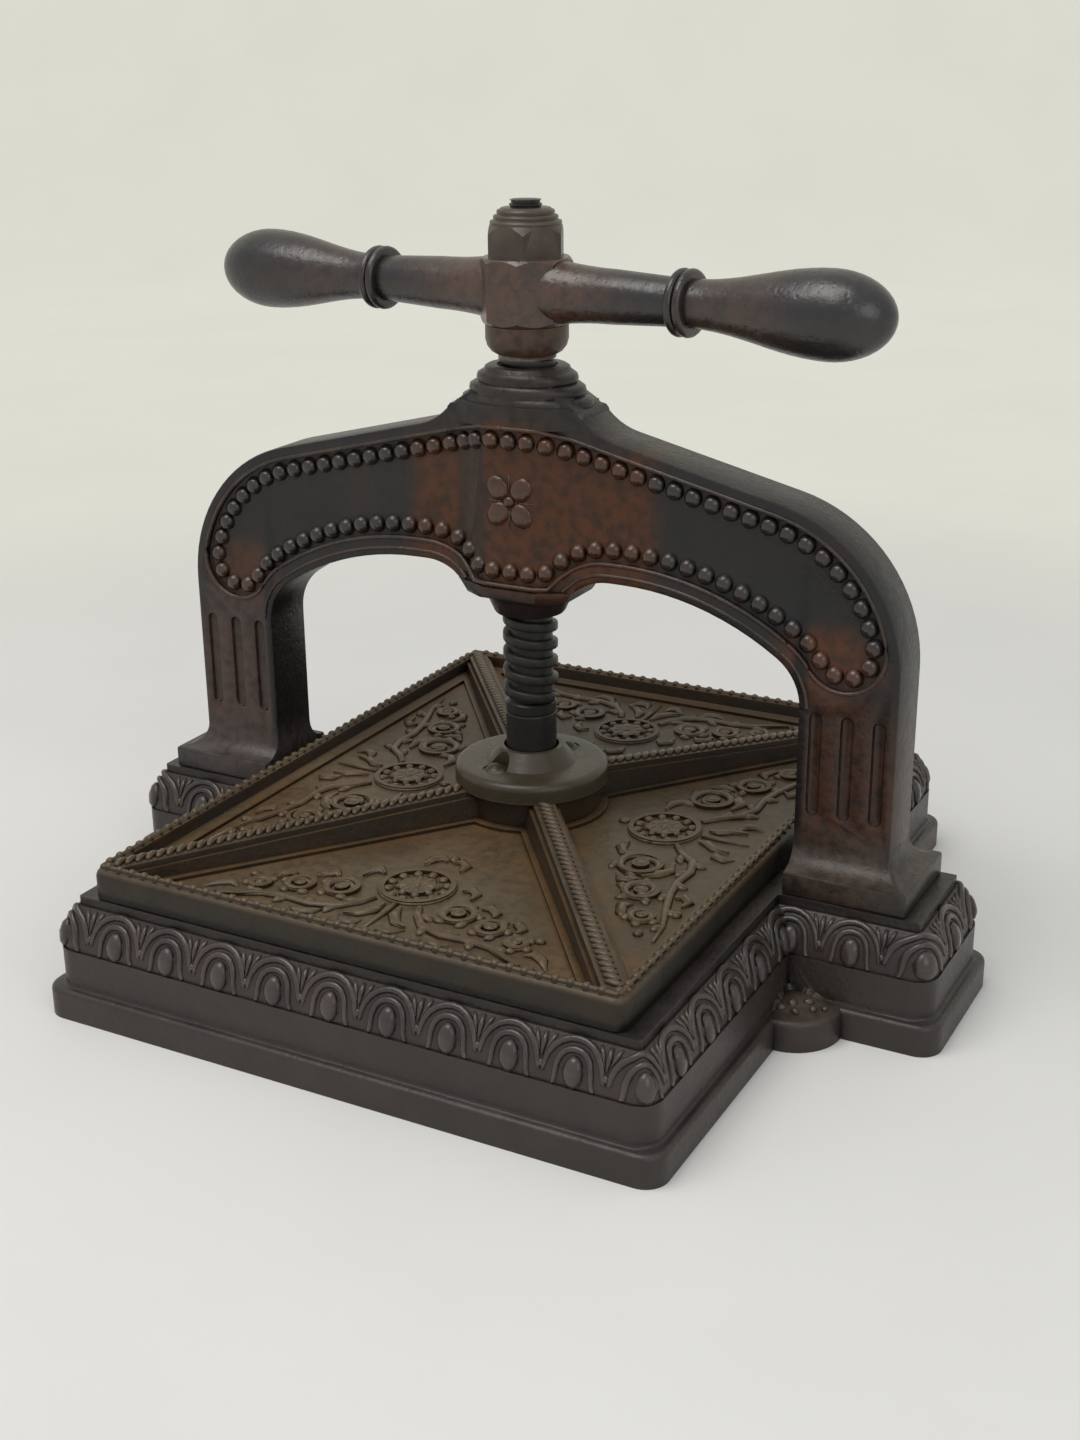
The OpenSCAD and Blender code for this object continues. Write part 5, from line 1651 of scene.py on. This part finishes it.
HANDLE_IRON = IronFinish(
    "handle_iron", (30, 27, 27), (26, 23, 24), (104, 78, 62), (66, 44, 35), (12, 10, 10), 0.3, 0.26,
    rust_level=0.4, bump=0.3, specular=0.7,
    patches=(
        Patch((0.0, 0.0, 301.0), (46.0, 60.0, 30.0), (92, 62, 46), 0.5, 0.9, 0.6),
        Patch((102.0, -10.0, 301.0), (26.0, 40.0, 30.0), (70, 50, 40), 0.6, 1.2, 0.6),
        Patch((-102.0, 10.0, 301.0), (26.0, 40.0, 30.0), (66, 49, 41), 0.6, 1.2, 0.6),
    ))
SCREW_STEEL = IronFinish(
    "screw_steel", (24, 23, 22), (31, 29, 27), (128, 120, 110), (50, 38, 30), (5, 5, 5), 0.4, 0.26, bump=0.12,
    rust_level=0.2, edge_gain=3.0, grime_and_shade_gain=2.2, dust=0.0, specular=0.4,
    patches=(Patch((0.0, 0.0, 281.0), (60.0, 60.0, 9.0), (82, 58, 45), 0.3, 0.3, 0.85),))
NUT_STEEL = IronFinish(
    "nut_steel", (78, 67, 57), (60, 50, 43), (136, 124, 108), (78, 56, 40), (12, 11, 10), 0.38, 0.28,
    metal=0.2, bump=0.14, rust_level=0.35, specular=0.5)
KEEPER_IRON = IronFinish(
    "keeper_iron", (63, 55, 40), (52, 45, 33), (132, 120, 96), (82, 60, 38), (20, 17, 13), 0.36, 0.28,
    bump=0.13, rust_level=0.2, dust=0.05, specular=0.4)
FASTENER_STEEL = IronFinish(
    "fastener_steel", (56, 51, 44), (46, 42, 37), (132, 120, 102), (72, 52, 38), (12, 10, 9), 0.4, 0.3,
    metal=0.3, bump=0.15)


@dataclass
class BookPress:
    """The whole press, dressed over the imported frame."""

    shaders: ShaderKit = field(default_factory=ShaderKit)
    grow: GrowKit = field(default_factory=GrowKit)
    boss_top: tuple[Box, ...] = (((-44.0, -30.0, 251.5), (44.0, 30.0, 266.0)),
                                 ((-33.0, -30.0, 240.0), (33.0, 30.0, 252.0)))
    boss_sills: tuple[Box, ...] = (((-31.5, -16.0, 165.5), (-22.5, 16.0, 173.0)),
                                   ((22.5, -16.0, 165.5), (31.5, 16.0, 173.0)))
    platen_well: Box = ((-121.0, -159.0, 60.0), (121.0, 159.0, 95.0))

    def build(self) -> None:
        """Dresses every node and adds the ornament."""
        finishes = (BASE_IRON, ARCH_IRON, PLATEN_IRON, HANDLE_IRON, SCREW_STEEL, NUT_STEEL, KEEPER_IRON,
                    FASTENER_STEEL)
        base, arch, platen, handle, screw, nut, keeper, fastener = (
            finish.material(self.shaders) for finish in finishes)
        Casting("base", Body.FRAME, Slot.BASE, base, eased=low_hump).build()
        Casting("arch_frame", Body.FRAME, Slot.ARCH, arch, 1.2, sharp=self.boss_top + self.boss_sills,
                eased=soft_boss).build()
        Casting("platen", Body.PLATEN, Slot.PLATEN, platen, 0.6, sharp=(self.platen_well,)).build()
        Casting("handle", Body.SCREW, Slot.HANDLE, handle).build()
        Casting("keeper_plate", Body.PLATEN, Slot.PLATEN, keeper).build()
        Casting("handle_nut", Body.SCREW, Slot.SCREW, nut).build()
        ArchOrnament(arch, self.grow).build()
        EggAndDart(base, self.grow).build()
        PlatenOrnament(platen, self.grow).build()
        ScrewSpindle(screw, nut, self.grow).build()
        for name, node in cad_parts.items():
            if name.endswith(("bolt", "washer", "keeper_screw")):
                node.data.materials.clear()
                node.data.materials.append(fastener)


def main() -> None:
    """Builds the press and its stage."""
    logging.basicConfig(level=logging.INFO)
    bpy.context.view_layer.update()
    BookPress().build()
    Studio().build()


if __name__ == "__main__":
    main()
